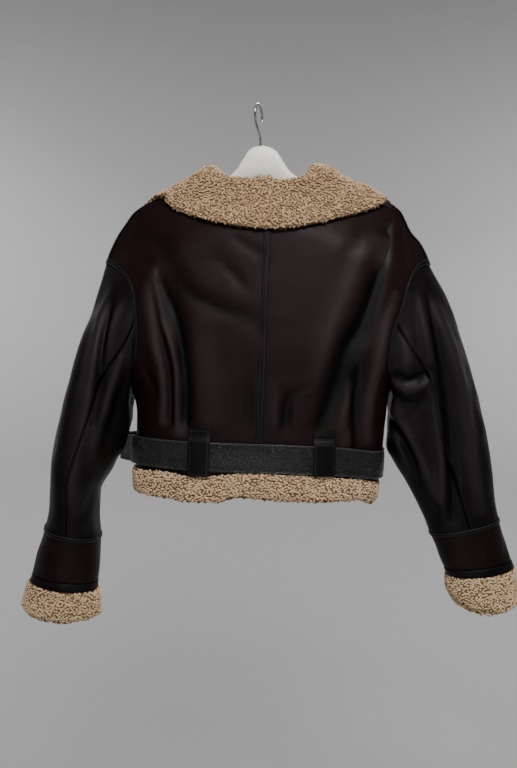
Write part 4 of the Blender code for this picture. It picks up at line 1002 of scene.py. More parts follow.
panels = {
    "columns": 74, "rows": 122, "wall": 0.0036, "flat": (0.29, 0.52),
    "seamDip": 0.0011, "seamReach": 0.008, "size": (0.27, 0.49),
    # square metres of each half's cut
    "cut": {"back": {leftHand: 0.117, rightHand: 0.121}, "front": {leftHand: 0.111, rightHand: 0.115}},
    "ripple": 0.0003, "rippleSize": 0.060,   # small unevenness of the cloth
    "folds": {
        "leftDrape": fold(backSide, (206, -216, 14, 12, -0.8), (155, -238, 13, 12, -1.8),
            (126, -295, 14, 12, -2.5), (101, -319, 15, 12, -2.8), (61, -338, 16, 13, -2.8),
            (12, -353, 16, 14, -1.8), (-6, -379, 14, 14, -0.8)),
        "leftDrapeTop": fold(backSide, (120, -258, 22, 22, 0.8), (85, -292, 22, 22, 1.3),
            (45, -316, 22, 20, 1.3), (10, -328, 18, 18, 0.6)),
        "yokeCrease": fold(backSide, (63, -262, 10, 10, -0.8), (35, -290, 10, 10, -2),
            (20, -308, 10, 10, -0.8)),
        "neckCrease": fold(backSide, (36, -230, 9, 9, -1), (3, -250, 9, 9, -1.8)),
        "leftOuterRidge": fold(backSide, (171, -283, 8, 10, 2), (177, -316, 10, 10, 5),
            (167, -395, 10, 10, 6.5), (152, -448, 9, 8, 7), (148, -489, 9, 7, 7),
            (155, -545, 9, 8, 4.5)),
        "leftInnerRidge": fold(backSide, (167, -290, 6, 6, 2), (152, -363, 6, 6, 6),
            (135, -407, 6, 6, 8), (127, -448, 6, 6, 8.5), (126, -488, 6, 6, 8), (125, -545, 7, 6, 5)),
        "leftBetween": fold(backSide, (162, -336, 6, 6, -1), (148, -408, 6, 6, -3),
            (139, -448, 7, 6, -4), (136, -502, 7, 6, -4.5), (136, -545, 7, 6, -2)),
        "leftTrough": fold(backSide, (154, -304, 7, 10, -2), (142, -328, 7, 11, -4),
            (129, -362, 7, 12, -5.2), (118, -420, 7, 12, -6), (113, -475, 6, 11, -6),
            (112, -545, 6, 11, -4)),
        "leftPillow": fold(backSide, (95, -370, 26, 30, 1.5), (86, -440, 24, 32, 3),
            (76, -535, 22, 30, 2)),
        "underarmCrease": fold(backSide, (184, -432, 6, 6, -1), (173, -456, 6, 6, -2.8),
            (162, -478, 6, 6, -1)),
        "seamDip": fold(backSide, (12, -440, 8, 8, -0.5), (11, -485, 9, 9, -2.5), (9, -545, 9, 9, -1.5)),
        "rightDrape": fold(backSide, (-213, -189, 6, 6, -1), (-210, -201, 6, 6, -3.5),
            (-200, -247, 8, 8, -5.5), (-182, -314, 12, 12, -7.5), (-165, -362, 14, 16, -8.5),
            (-145, -400, 14, 18, -8.5), (-130, -454, 14, 18, -7.5), (-106, -523, 12, 14, -3.5)),
        "rightDrapeTop": fold(backSide, (-187, -208, 10, 8, 2), (-168, -248, 14, 10, 3.8),
            (-152, -288, 18, 12, 4.5), (-134, -336, 22, 12, 4.5), (-113, -395, 24, 12, 4),
            (-96, -450, 22, 12, 2)),
        "collarCrease": fold(backSide, (-172, -186, 8, 8, -1), (-156, -228, 9, 9, -2.8),
            (-138, -256, 10, 10, -1)),
        "rightSideRidge": fold(backSide, (-224, -317, 10, 8, 2), (-207, -371, 11, 8, 5.5),
            (-199, -426, 11, 9, 7.5), (-189, -479, 10, 10, 7.5), (-185, -545, 10, 10, 5)),
        "rightSlit": fold(backSide, (-164, -430, 7, 7, -2), (-163, -472, 6, 6, -6.2),
            (-163, -545, 6, 6, -4.5)),
        "rightWedge": fold(backSide, (-153, -460, 7, 6, 2), (-146, -497, 10, 6, 5.5),
            (-140, -545, 14, 8, 4.5)),
        "hemDent": fold(backSide, (-85, -460, 7, 7, -0.8), (-58, -474, 8, 8, -2.8),
            (-49, -500, 8, 9, -4.5), (-54, -545, 9, 10, -3)),
        "hemDentRidge": fold(backSide, (-30, -465, 10, 8, 1), (-33, -510, 10, 8, 2.5),
            (-32, -545, 10, 8, 1.5)),
        "frontLeftRidge": fold(frontSide, (178, -290, 10, 10, 2), (166, -370, 11, 9, 6),
            (146, -440, 10, 8, 7), (138, -545, 10, 9, 4)),
        "frontLeftTrough": fold(frontSide, (152, -340, 9, 11, -2), (131, -420, 8, 12, -5.5),
            (120, -545, 8, 12, -4)),
        "frontLeftDrape": fold(frontSide, (120, -250, 16, 14, -1), (75, -330, 16, 16, -3.5),
            (58, -420, 14, 16, -4), (60, -530, 12, 14, -2)),
        "frontLeftBulge": fold(frontSide, (100, -300, 18, 18, 1.5), (94, -400, 18, 20, 3),
            (88, -520, 18, 20, 2)),
        "frontRightRidge": fold(frontSide, (-196, -300, 10, 10, 2), (-184, -380, 10, 10, 6),
            (-166, -450, 9, 10, 7), (-160, -545, 9, 10, 4)),
        "frontRightTrough": fold(frontSide, (-170, -330, 10, 9, -2), (-148, -420, 11, 8, -5.5),
            (-136, -500, 11, 8, -5), (-138, -545, 10, 8, -3)),
        "frontRightDrape": fold(frontSide, (-150, -230, 14, 16, -1), (-105, -310, 14, 16, -3),
            (-80, -390, 14, 14, -3), (-70, -470, 12, 12, -1.2)),
        "frontRightCrease": fold(frontSide, (-190, -430, 6, 6, -1), (-178, -460, 7, 6, -3),
            (-184, -530, 7, 7, -2.5)),
    },
}


def ridgeMark(height):               # 0.4 on even cloth, 1 on top of a fold, 0 in a valley; the leather paints its highlight and shade from it
    return np.clip(0.4 + height / 0.008, 0, 1)


def panelGrid(hand, side, columns, rows, lift=0.0):
    turn, z = panelPlaces(hand, side, columns, rows)
    points, normals, height = bodySurface(turn, z, lift, panels["folds"])
    ripple = panels["ripple"] * softNoise(points[..., 0], points[..., 2], panels["rippleSize"],
                                          11 + side)
    points = points + normals * ripple[..., None]
    return points, normals, height + ripple


def makePanels():
    columns = evenWith([body["neckShare"]], panels["columns"])
    rows = evenWith([body["sideRows"] / (body["sideRows"] + body["armholeRows"])], panels["rows"])
    seam = seamMarks(rows, columns, *panels["size"], panels["seamReach"])
    dip = panels["seamDip"] * seamDip(seam)
    for side, word in ((backSide, "back"), (frontSide, "front")):
        for hand, which in hands:
            points, normals, height = panelGrid(hand, side, columns, rows)
            points = atGarment(points - normals * dip[..., None])
            made = gridMesh(points, marks={"seam": seam ** 2, "ridge": ridgeMark(height)})
            piece = addPiece(f"{word}Panel{which}", made, [leather, pileGround],
                             outFromGrid(points, normals))
            addWall(piece, panels["wall"], inside=1)
            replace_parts(piece, f"{word}_{which.lower()}")
    print("panels made")


makePanels()


# Sleeves

def sleeveSection(rows, at, angle):  # angle 0 is the outer edge, 180 the inner edge
    numbers = np.arange(len(rows["ox"]))
    value = {key: through(at, numbers, rows[key]) for key in rows}
    middleX, middleZ = (value["ox"] + value["ix"]) / 2, (value["oz"] + value["iz"]) / 2
    halfX, halfZ = (value["ox"] - value["ix"]) / 2, (value["oz"] - value["iz"]) / 2
    sine, cosine = np.sin(np.radians(angle)), np.cos(np.radians(angle))
    return np.stack([middleX + halfX * cosine, value["y"] + value["depth"] * sine,
                     middleZ + halfZ * cosine], axis=-1)


def tubeNormals(grid):
    along = np.gradient(grid, axis=0)
    around = np.roll(grid, -1, axis=1) - np.roll(grid, 1, axis=1)
    normal = unit(np.cross(around, along))
    centre = grid.mean(axis=1, keepdims=True)
    return normal * np.sign(np.sum(normal * (grid - centre), axis=(1, 2), keepdims=True))


def armholeRing(hand, sectors):
    shares = np.arange(sectors // 2 + 1) / (sectors // 2)
    turn, z = armholeEdge(hand, shares)
    turn = np.abs(turn)              # the ring runs down the back edge and up the front edge
    back, front = (bodySurface(side * hand, z, 0.0, panels["folds"])[0]
                   for side in (turn, 180.0 - turn))
    return np.concatenate([back, front[1:-1][::-1]])


def keepOffBody(grid, hand, margins):        # moves what would lie inside the body out of it
    grid = grid.copy()
    x, y, z = grid[..., 0], grid[..., 1], grid[..., 2]
    gap = sleeves["gap"]
    clear = margins[:, None] + gap["underarm"] * ease((gap["underarmFrom"] - z) / 0.020)
    middle, half = middleAndHalf(z)
    side = np.where(y > 0, backSide, frontSide)
    depth = bodyDepth(middle + hand * half * 0.9, z, side)
    level = np.clip(1 - (np.maximum(np.abs(y) - clear, 0) / depth) ** 2, 0, 1)
    beside = hand * middle + half * level ** (1 / body["squareness"])
    edge = hand * through(z, body["armhole"][hand]["z"], body["armhole"][hand]["x"])
    limit = np.where(z < body["underarmZ"], beside, np.minimum(beside, edge)) + clear
    inside = (hand * x < limit) & (np.abs(y) < depth)
    grid[..., 0] = np.where(inside, hand * limit, x)
    across = np.clip(np.abs(x - middle) / half, 0, 1)
    overTape = bodyDepth(x, z, side) * np.sqrt(1 - across ** body["squareness"])
    overTape = overTape + gap["tape"]
    low = ((hand * x < edge - 0.0005) & (np.abs(y) < overTape)
           & (np.abs(y) > overTape - gap["tapeReach"]))
    grid[..., 1] = np.where(low & ~inside, side * overTape, y)
    return grid


sleeves = {
    "rows": 150, "sectors": 112, "wall": 0.0032, "flat": (0.24, 0.52), "seamDark": 0.5,
    "seamDip": 0.0010, "seamReach": 0.007, "size": (0.22, 0.50),
    "ripple": 0.0004, "rippleSize": 0.050,
    "armholeFade": 2.2,              # rows over which the armhole's shape passes into the sleeve's
    # how far the sleeve stays off the body: at the armhole, then more down the sleeve
    "gap": {"start": 0.0004, "cap": 0.0024, "along": 0.0016, "underarm": 0.0012,
            "underarmFrom": -0.425, "tape": 0.0040, "tapeReach": 0.010},
    # square metres of each half's cut
    "cut": {"Top": {leftHand: 0.083, rightHand: 0.091}, "Under": {leftHand: 0.056, rightHand: 0.062}},
    "folds": {
        "leftRidge": fold(backSide, (230, -284, 8, 8, 2), (242, -313, 10, 7, 5.5),
            (256, -362, 12, 7, 6.5), (262, -412, 14, 8, 6.5), (268, -461, 16, 9, 5.5),
            (278, -528, 18, 11, 4), (289, -612, 18, 14, 3), (286, -700, 16, 16, 1.8)),
        "leftTrough": fold(backSide, (225, -302, 6, 6, -2), (235, -318, 6, 6, -4.5),
            (244, -356, 6, 6, -6), (250, -411, 7, 8, -5), (254, -461, 8, 10, -3.5),
            (258, -527, 9, 12, -2)),
        "leftSeamRidge": fold(backSide, (219, -318, 6, 6, 2), (231, -352, 6, 6, 5),
            (241, -388, 6, 6, 5), (247, -424, 6, 6, 2.5)),
        "leftOuter": fold(backSide, (268, -330, 12, 10, 1), (288, -400, 12, 10, 2.2),
            (305, -480, 12, 12, 2.2), (322, -600, 12, 12, 1.5)),
        "leftOuterLine": fold(backSide, (280, -399, 7, 7, -0.8), (301, -512, 8, 7, -2.2),
            (310, -596, 8, 7, -2.2), (314, -690, 8, 8, -1)),
        "leftElbow": fold(backSide, (222, -430, 7, 7, 2), (238, -480, 8, 7, 4.5), (254, -545, 8, 8, 3),
            (262, -600, 8, 8, 1)),
        "leftElbowDip": fold(backSide, (214, -455, 7, 7, -2), (228, -505, 7, 7, -4),
            (246, -570, 7, 8, -2)),
        "leftCuffCrease": fold(backSide, (262, -640, 7, 7, -1), (274, -672, 7, 7, -2.2),
            (292, -706, 7, 7, -1)),
        "rightCapInner": fold(backSide, (-254, -288, 7, 6, 2), (-261, -303, 6, 7, 4),
            (-270, -354, 7, 7, 4.8), (-286, -413, 6, 6, 2.5)),
        "rightLongTrough": fold(backSide, (-273, -290, 6, 6, -2), (-284, -334, 6, 7, -4),
            (-296, -380, 7, 8, -6), (-308, -445, 8, 10, -7), (-321, -511, 9, 11, -7),
            (-335, -612, 8, 10, -5.5), (-341, -690, 7, 8, -2.5)),
        "rightCapOuter": fold(backSide, (-285, -290, 10, 10, 1), (-304, -347, 12, 10, 4),
            (-329, -412, 13, 11, 5.8), (-350, -494, 13, 12, 5.8), (-367, -577, 13, 12, 5),
            (-386, -661, 12, 10, 3)),
        "rightSeamRidge": fold(backSide, (-288, -455, 7, 6, 2), (-298, -495, 7, 6, 5),
            (-312, -561, 8, 6, 5.8), (-320, -629, 8, 6, 4.8), (-322, -680, 7, 6, 2)),
        "rightPillow": fold(backSide, (-232, -350, 8, 10, 2), (-239, -388, 11, 14, 5.8),
            (-243, -414, 12, 14, 5.8)),
        "rightPocket": fold(backSide, (-219, -430, 6, 6, -2), (-232, -441, 6, 6, -6),
            (-247, -447, 6, 6, -6.4), (-262, -444, 6, 6, -6), (-274, -436, 6, 6, -2)),
        "rightPocketLip": fold(backSide, (-224, -450, 6, 6, 2), (-249, -465, 6, 6, 3.8),
            (-272, -456, 6, 6, 4.5), (-286, -444, 6, 6, 2)),
        "rightPocketDip": fold(backSide, (-228, -474, 7, 7, -2), (-257, -488, 8, 8, -4.8),
            (-282, -476, 8, 8, -2)),
        "rightSlant": fold(backSide, (-217, -474, 6, 7, 3), (-238, -513, 7, 9, 5.8),
            (-267, -556, 8, 10, 5.8), (-290, -599, 8, 10, 4.5), (-308, -646, 7, 9, 2.5)),
        "rightSlantDip": fold(backSide, (-218, -501, 6, 6, -2), (-242, -535, 6, 6, -5),
            (-266, -580, 6, 6, -5), (-284, -622, 6, 6, -2)),
        "rightEdgeSlant": fold(backSide, (-227, -527, 6, 6, 2), (-249, -567, 6, 6, 4),
            (-268, -607, 6, 6, 2)),
        "rightCuffCrease": fold(backSide, (-304, -652, 6, 6, -1.5), (-318, -672, 6, 6, -3.2),
            (-316, -706, 6, 6, -1.5)),
        "frontLeftRidge": fold(frontSide, (236, -310, 9, 9, 2), (262, -400, 11, 10, 5.5),
            (280, -500, 13, 10, 5), (296, -640, 14, 12, 2.5)),
        "frontLeftElbow": fold(frontSide, (212, -430, 7, 7, 2), (232, -472, 7, 7, 5.5),
            (262, -498, 7, 7, 3.5)),
        "frontLeftElbowDip": fold(frontSide, (212, -460, 7, 7, -2), (236, -502, 7, 7, -5.5),
            (270, -530, 7, 7, -2.5)),
        "frontLeftSlant": fold(frontSide, (216, -500, 7, 7, 2), (246, -560, 7, 8, 5),
            (272, -640, 7, 8, 2)),
        "frontRightRidge": fold(frontSide, (-268, -300, 9, 9, 2), (-306, -400, 10, 11, 5.5),
            (-338, -510, 10, 13, 5.5), (-368, -650, 12, 12, 2.5)),
        "frontRightElbow": fold(frontSide, (-224, -440, 7, 7, 2), (-252, -478, 7, 7, 5.8),
            (-290, -496, 7, 7, 3.5)),
        "frontRightElbowDip": fold(frontSide, (-224, -470, 7, 7, -2), (-258, -508, 7, 7, -5.5),
            (-300, -528, 7, 7, -2.5)),
        "frontRightSlant": fold(frontSide, (-232, -520, 7, 7, 2), (-266, -590, 8, 7, 5),
            (-300, -660, 8, 7, 2)),
    },
}


def sleeveGrid(hand, steps, sectors):
    steps = np.asarray(steps, float)
    angles = np.arange(sectors) * 360.0 / sectors
    grid = sleeveSection(sleeve["rows"][hand], steps[:, None], angles[None, :])
    fade = 1 - ease(steps / sleeves["armholeFade"])
    first = sleeveSection(sleeve["rows"][hand], 0.0, angles)
    grid = grid + fade[:, None, None] * (armholeRing(hand, sectors) - first)[None]
    sine = np.sin(np.radians(angles))
    side = np.where(sine >= 0, backSide, frontSide)
    gap = sleeves["gap"]
    margins = gap["start"] + gap["cap"] * ease(steps / 0.4) + gap["along"] * ease(steps / 0.7)
    grid = keepOffBody(grid, hand, margins)
    normal = tubeNormals(grid)
    guard = ease(np.abs(sine) / 0.5)[None, :] * ease(steps / 1.0)[:, None]
    guard = guard * ease((sleeve["cuffTop"] - 0.3 - steps) / 0.6)[:, None]
    x, z, which = grid[..., 0], grid[..., 2], side[None, :]
    height = curvedFolds(sleeves["folds"], x, z, which) * guard
    ripple = sleeves["ripple"] * softNoise(x + 2 * grid[..., 1], z, sleeves["rippleSize"],
                                           23 + hand)
    ripple = ripple * ease(steps / 0.6)[:, None] * ease((sleeve["cuffTop"] - steps) / 0.5)[:, None]
    grid = grid + normal * (height + ripple)[..., None]
    return grid, normal, height + ripple


def makeSleeves():
    sectors = sleeves["sectors"]
    quarter = sectors // 4
    steps = np.linspace(0, 1, sleeves["rows"]) ** 1.1 * sleeve["cuffTop"]
    for hand, which in hands:
        grid, normal, height = sleeveGrid(hand, steps, sectors)
        halves = {"Top": np.arange(-quarter, quarter + 1) % sectors,
                  "Under": np.arange(quarter, sectors - quarter + 1)}
        for word, columns in halves.items():
            points, away = grid[:, columns], normal[:, columns]
            share = np.linspace(0, 1, len(columns))
            seam = seamMarks(np.linspace(0, 1, len(steps)), share, *sleeves["size"],
                             sleeves["seamReach"])
            dip = sleeves["seamDip"] * seamDip(seam) * ease(steps / 0.3)[:, None]
            points = atGarment(points - away * dip[..., None])
            made = gridMesh(points, marks={"seam": sleeves["seamDark"] * seam ** 2,
                                           "ridge": ridgeMark(height[:, columns])})
            piece = addPiece(f"sleeve{which}{word}", made, [sleeveLeather, pileGround],
                             outFromGrid(points, away))
            addWall(piece, sleeves["wall"], inside=1)
            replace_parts(piece, f"sleeve_{which.lower()}_{word.lower()}")
    print("sleeves made")


makeSleeves()


# Cuffs: tape, panel, binding and turned-back pile

cuffs = {
    "sectors": 96, "wall": 0.0034, "ripple": 0.0008, "seamDip": 0.0010, "seamReach": 0.006,
    "pileRows": 26, "lump": 0.0012,
    "pileThick": (0.0105, 0.0105, 0.0105, 0.0062),
    "tape": {"rows": (6.80, 7.02), "wall": 0.0012, "lie": 0.0003, "stitched": (2, 6),
             "swell": (0, 0.0010, 0.0014, 0.0015, 0.0012, 0.0015, 0.0014, 0.0010, 0)},
    # ends on the sleeve, rows of the mesh, how far it stands out, finish, slot, and flat size
    "Panel": (("cuffTop", "bindingTop"), 34, 0.0, leather, "leather", (0.078, 0.28)),
    "Binding": (("bindingTop", "cuffEnd"), 12, 0.0008, tapeLeather, "trim", (0.018, 0.28)),
}


def closedRound(grid):
    return np.concatenate([grid, grid[:, :1]], axis=1)


def makeCuffTape(hand, which):
    tape = cuffs["tape"]
    steps = np.linspace(*tape["rows"], len(tape["swell"]))
    grid, normal, _ = sleeveGrid(hand, steps, cuffs["sectors"])
    rise = tape["lie"] + np.array(tape["swell"])
    points, away = atGarment(closedRound(grid + normal * rise[:, None, None])), closedRound(normal)
    piece = addPiece(f"cuffTape{which}", gridMesh(points, closed=True), [tapeLeather],
                     outFromGrid(points, away))
    addWall(piece, tape["wall"])
    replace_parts(piece, f"cuff_{which.lower()}_tape")
    addStitches(f"cuffTapeStitches{which}", [(points[k], away[k]) for k in tape["stitched"]])


def makeCuffPart(hand, which, angles, word):
    ends, count, outward, finish, slotName, size = cuffs[word]
    steps = np.linspace(*(sleeve[key] for key in ends), count)
    grid = sleeveSection(sleeve["rows"][hand], steps[:, None], angles[None, :])
    normal = tubeNormals(grid)
    share = np.linspace(0, 1, count)
    seam = seamMarks(share, np.linspace(0, 1, len(angles)), size[1], size[0], cuffs["seamReach"],
                     (1, 1, 0, 0))
    wave = softNoise(grid[..., 0] * 2 + grid[..., 1], grid[..., 2] * 0.5, 0.05, 31 + hand)
    wave = wave * np.sin(np.pi * share)[:, None]
    lift = outward + cuffs["ripple"] * wave - cuffs["seamDip"] * seam ** 2
    points = atGarment(closedRound(grid + normal * lift[..., None]))
    # the ridge mark carries painted highlight and painted shade over the cuff's ripples
    marks = {"seam": closedRound(seam ** 2), "ridge": closedRound(ridgeMark(lift * 2))}
    piece = addPiece(f"cuff{word}{which}", gridMesh(points, closed=True, marks=marks),
                     [finish, pileGround], outFromGrid(points, closedRound(normal)))
    addWall(piece, cuffs["wall"], inside=1)
    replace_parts(piece, f"cuff_{which.lower()}_{word.lower()}")


def makeCuffPile(hand, which, angles):
    rows = sleeve["pile"][hand]
    count = len(rows["ox"])
    steps = np.linspace(0, count - 1, cuffs["pileRows"])
    outer = sleeveSection(rows, steps[:, None], angles[None, :])
    normal = tubeNormals(outer)
    thick = np.interp(steps, np.arange(count), cuffs["pileThick"])
    wave = softNoise(angles / 57.3 * 0.05 + hand, steps[:, None] * 0.018, 0.035, 41 + hand)
    outer = outer + normal * (wave * cuffs["lump"] - curls["inset"])[..., None]
    inner = outer - normal * (thick - 2 * curls["inset"])[:, None, None]
    lowest = (outer[-1:] + inner[-1:]) / 2 + (outer[-1:] - outer[-2:-1]) * 0.9
    upper = (outer[:1] + inner[:1]) / 2
    ring = np.concatenate([upper, outer, lowest, inner[::-1], upper])
    away = closedRound(np.concatenate([normal[:1], normal, unit(lowest - outer[-1:]),
                                       -normal[::-1], normal[:1]]))
    points = atGarment(closedRound(ring))
    addPile(f"cuffPile{which}", f"cuff_{which.lower()}_fur", points, away, [pileGround])
    keep = np.ones(points.shape[:2])
    keep[0] = 0
    keep[-12:] = 0                   # no curls where the pile lies on the wrist
    addCurls(f"cuffCurls{which}", points, away, 50 + hand, keep)


def makeCuffs():
    angles = np.arange(cuffs["sectors"]) * 360.0 / cuffs["sectors"]
    for hand, which in hands:
        makeCuffTape(hand, which)
        makeCuffPart(hand, which, angles, "Panel")
        makeCuffPart(hand, which, angles, "Binding")
        makeCuffPile(hand, which, angles)
    print("cuffs made")


makeCuffs()


# Collar

def profileAt(roll):
    profile = collar["profile"]
    along = profile["back_along"] * (1 - roll) + profile["side_along"] * roll
    height = profile["back_height"] * (1 - roll) + profile["side_height"] * roll
    return along, height


def collarSection(neckTurn, edgeTurn, edgeZ, roll, count):
    # places on the wall's middle line, and the direction in which its upper side looks
    shares = np.linspace(0, 1, 25)
    neckTurn, neckZ = neckSeam(neckTurn)
    path, normals, _ = bodySurface(neckTurn + (edgeTurn - neckTurn) * shares,
                                   neckZ + (edgeZ - neckZ) * shares)
    way = wayAlong(path)
    along, height = profileAt(roll)
    rest = np.linspace(along[-1], way[-1], 4)[1:]
    flat = height[-1] + (collar["fallHeight"] - height[-1]) * ease(
        (rest - along[-1]) / (0.6 * (way[-1] - along[-1])))
    along, height = np.concatenate([along, rest]), np.concatenate([height, flat])
    walked = np.concatenate([[0], np.cumsum(np.hypot(np.diff(along), np.diff(height)))])
    even = np.linspace(0, walked[-1], count)
    along, height = throughRound(even, walked, along), throughRound(even, walked, height)
    run = unit(np.stack([np.gradient(along), np.gradient(height)], axis=1))
    start, end = unit(path[1] - path[0]), unit(path[-1] - path[-2])
    places, sides = [], []
    for k in range(count):
        at = np.clip(along[k], 0, way[-1])
        base, out = pointsAt(at, way, path), unit(pointsAt(at, way, normals))
        ahead = start if along[k] < 0 else end
        places.append(base + ahead * (along[k] - at) + out * height[k])
        sides.append(out * run[k, 0] - ahead * run[k, 1])
    return np.array(places), unit(np.array(sides))


collarFinish = {
    # the collar's curls take darker tones than the hem's and cuffs': a painted shade against the
    # stronger light on the collar
    "stations": 170, "along": 44, "tones": (0.0, 0.55), "lump": 0.0012,
    "edgeShare": 0.62, "edgeFrom": 0.88,     # the wall thins towards its outer edge
    "underShare": 0.8,
}


def makeCollar():
    rows = collar["stations"]
    numbers = np.arange(len(rows["roll"]))
    places, sides = [], []
    for at in np.linspace(0, numbers[-1], collarFinish["stations"]):
        row = [float(through(at, numbers, rows[key])) for key in
               ("neck_turn", "edge_turn", "edge_z", "roll")]
        place, side = collarSection(*row, collarFinish["along"])
        places.append(place)
        sides.append(side)
    places, sides = np.array(places), np.array(sides)
    share = np.linspace(0, 1, collarFinish["along"])
    thinning = ease((share - collarFinish["edgeFrom"]) / (1 - collarFinish["edgeFrom"]))
    half = collar["wall"] / 2 * (1 - (1 - collarFinish["edgeShare"]) * thinning)
    lump = softNoise(places[..., 0] + places[..., 1], places[..., 2], 0.04, 61) * collarFinish["lump"]
    upper = places + sides * ((half - curls["inset"])[None, :] + lump)[..., None]
    under = places - sides * (half * collarFinish["underShare"])[None, :, None]
    edge = unit(places[:, -1] - places[:, -2])[:, None]
    top = np.concatenate([upper, places[:, -1:] + edge * (-0.0002)], axis=1)
    neckEdge = (upper[:, :1] + under[:, :1]) / 2
    points = atGarment(np.concatenate([neckEdge, top, under[:, ::-1], neckEdge], axis=1))
    away = np.concatenate([sides[:, :1], sides, edge, -sides[:, ::-1], sides[:, :1]], axis=1)
    addPile("collarPile", "collar", points, away, [pileGround, leather])
    keep = np.zeros(points.shape[:2])
    keep[:, 1:top.shape[1] + 2] = 1  # curls on the upper side and round the outer edge
    middle = len(points) // 2
    for word, part in (("Left", slice(middle, None)), ("Right", slice(0, middle + 1))):
        addCurls(f"collarCurls{word}", points[part], away[part], 70 + len(word), keep[part],
                 collarFinish["tones"])
    print("collar made")


makeCollar()


# Hem band

hemBand = {
    "columns": 240, "lump": 0.0014,
    # a small fold in the pile: turn, reach in degrees, and height
    "ridge": (35.0, 1.6, 0.0040), "dent": (38.6, 1.2, 0.0045),
    # from the leather's lower edge down: outside and inside of the panels' face
    "wall": table(
        "share outside inside",
        (0, 0.0022, 0.0045), (0.12, 0.0055, 0.0055), (0.45, 0.0065, 0.0055), (0.8, 0.0055, 0.0055),
        (0.95, 0.003, 0.005), (1, 0, 0.0035)),
}


def makeHem():
    turns = np.linspace(-179.0, 179.0, hemBand["columns"])
    top = read(body["hem"], "x", "leather", xAt(turns, body["hemZ"]))
    bottom = read(body["hem"], "x", "pile", xAt(turns, top))
    wall = hemBand["wall"]
    shares = np.concatenate([np.linspace(0, 0.8, 12), np.linspace(0.84, 1.0, 6)])
    outside = through(shares, wall["share"], wall["outside"])[:, None]
    inside = through(shares, wall["share"], wall["inside"])[:, None]
    z = top + (bottom - top) * shares[:, None]
    points, normal, _ = bodySurface(turns[None, :], z)
    wave = softNoise(np.radians(turns) * 0.16, shares[:, None] * 0.045, 0.045, 83) * hemBand["lump"]
    ridge, dent = (height * np.exp(-((turns - turn) / reach) ** 2)
                   for turn, reach, height in (hemBand["ridge"], hemBand["dent"]))
    crease = ridge - dent
    outer = points + normal * (outside + wave + crease - curls["inset"])[..., None]
    inner = points - normal * (inside - curls["inset"] * 0.6 - wave - crease)[..., None]
    lowest = (outer[-1:] + inner[-1:]) / 2 - np.array([0, 0, 0.0012])
    upper = (outer[:1] + inner[:1]) / 2
    ring = atGarment(np.concatenate([upper, outer, lowest, inner[::-1], upper]))
    down = np.zeros_like(lowest) + np.array([0.0, 0.0, -1.0])
    away = np.concatenate([normal[:1], normal, down, -normal[::-1], normal[:1]])
    addPile("hemPile", "hem_fur", ring, away, [pileGround])
    keep = np.zeros(ring.shape[:2])
    keep[1:len(shares) + 10] = 1     # curls outside, below and a little way up inside
    addCurls("hemCurls", ring, away, 90, keep)
    print("hem made")


makeHem()


# Tapes over the seams

tapes = {
    "lie": 0.0003, "wall": 0.0012, "crown": 0.0005, "edge": 0.0004,
    "centreShare": 0.015, "armholeShare": 0.052, "shoulderShare": 0.020,     # of a panel
    "downTo": 10 / 18,
    "stitchedAt": 0.16,              # of the width, from each edge
    "flat": {"centre": (0.0100, 0.455), "armhole": (0.0105, 0.26), "shoulder": (0.017, 0.20)},
}


def makeTape(name, node, points, normals):
    # columns run across the tape: raised a little along its middle
    columns = points.shape[1]
    across = np.linspace(-1, 1, columns)
    rise = tapes["lie"] + tapes["wall"] + tapes["crown"] * (1 - across ** 2)
    high = atGarment(points) + normals * rise[None, :, None]
    piece = addPiece(name, gridMesh(high), [tapeLeather], outFromGrid(high, normals))
    addWall(piece, tapes["wall"])
    addBevel(piece, tapes["edge"])
    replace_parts(piece, node)
    edges = [max(1, round(columns * tapes["stitchedAt"])),
             min(columns - 2, round(columns * (1 - tapes["stitchedAt"])) - 1)]
    addStitches(f"{name}Stitches", [(high[:, k], normals[:, k]) for k in edges])


def overShoulder(hand, columns, rows):       # up the back panel, over, and down the front one
    back = panelGrid(hand, backSide, columns, rows)
    front = panelGrid(hand, frontSide, columns, rows[:-1])
    return [np.concatenate([b, f[::-1]]) for b, f in zip(back, front)]


def makeTapes():
    rows = np.linspace(0, 1, 150)
    across = np.linspace(0, tapes["centreShare"], 4)
    left, right = (panelGrid(hand, backSide, across, rows) for hand in (leftHand, rightHand))
    points, away, _ = (np.concatenate([a[:, ::-1], b[:, 1:]], axis=1) for a, b in zip(left, right))
    makeTape("centreBackTape", "centre_back_tape", points, away)
    for hand, which in hands:
        rows = np.linspace(1 - tapes["downTo"], 1, 80)
        columns = np.linspace(1 - tapes["armholeShare"], 0.998, 7)
        points, away, _ = overShoulder(hand, columns, rows)
        makeTape(f"armholeTape{which}", f"armhole_tape_{which.lower()}", points, away)
        columns = np.linspace(body["neckShare"], 1 - tapes["armholeShare"], 70)
        rows = np.linspace(1 - tapes["shoulderShare"], 1, 4)
        points, away, _ = (part.swapaxes(0, 1) for part in overShoulder(hand, columns, rows))
        makeTape(f"shoulderTape{which}", f"shoulder_tape_{which.lower()}", points, away)
    print("tapes made")


makeTapes()


# Belt, buckle and loops

def beltLevel(turn):
    return read(belt["level"], "turn", "z", turn)


def beltOnBody(turns, height):
    points = bodySurface(turns, beltLevel(turns), height)[0]
    points[..., 2] = beltLevel(turns)
    return points


def frontTurn(x):
    return 180.0 - turnAt(x, body["beltZ"])


def beltPath(count):
    lie = belt["standoff"] + belt["thickness"] / 2
    start = beltOnBody(frontTurn(np.linspace(belt["buckleEnd"], 0.124, 6)), lie)
    slack = np.stack([belt["slack"][key] for key in ("x", "y", "z")], axis=1)
    roundBody = beltOnBody(np.linspace(72, -168, 33), lie)
    end = beltOnBody(frontTurn(belt["tip"]["x"]), belt["tip"]["height"])
    knots = np.concatenate([start, slack, roundBody, end])
    way = wayAlong(knots)
    path = pointsAt(np.linspace(0, way[-1], count), way, knots, through)
    for _ in range(3):
        path[1:-1] = (path[:-2] + 2 * path[1:-1] + path[2:]) / 4
    return path, way[-1]


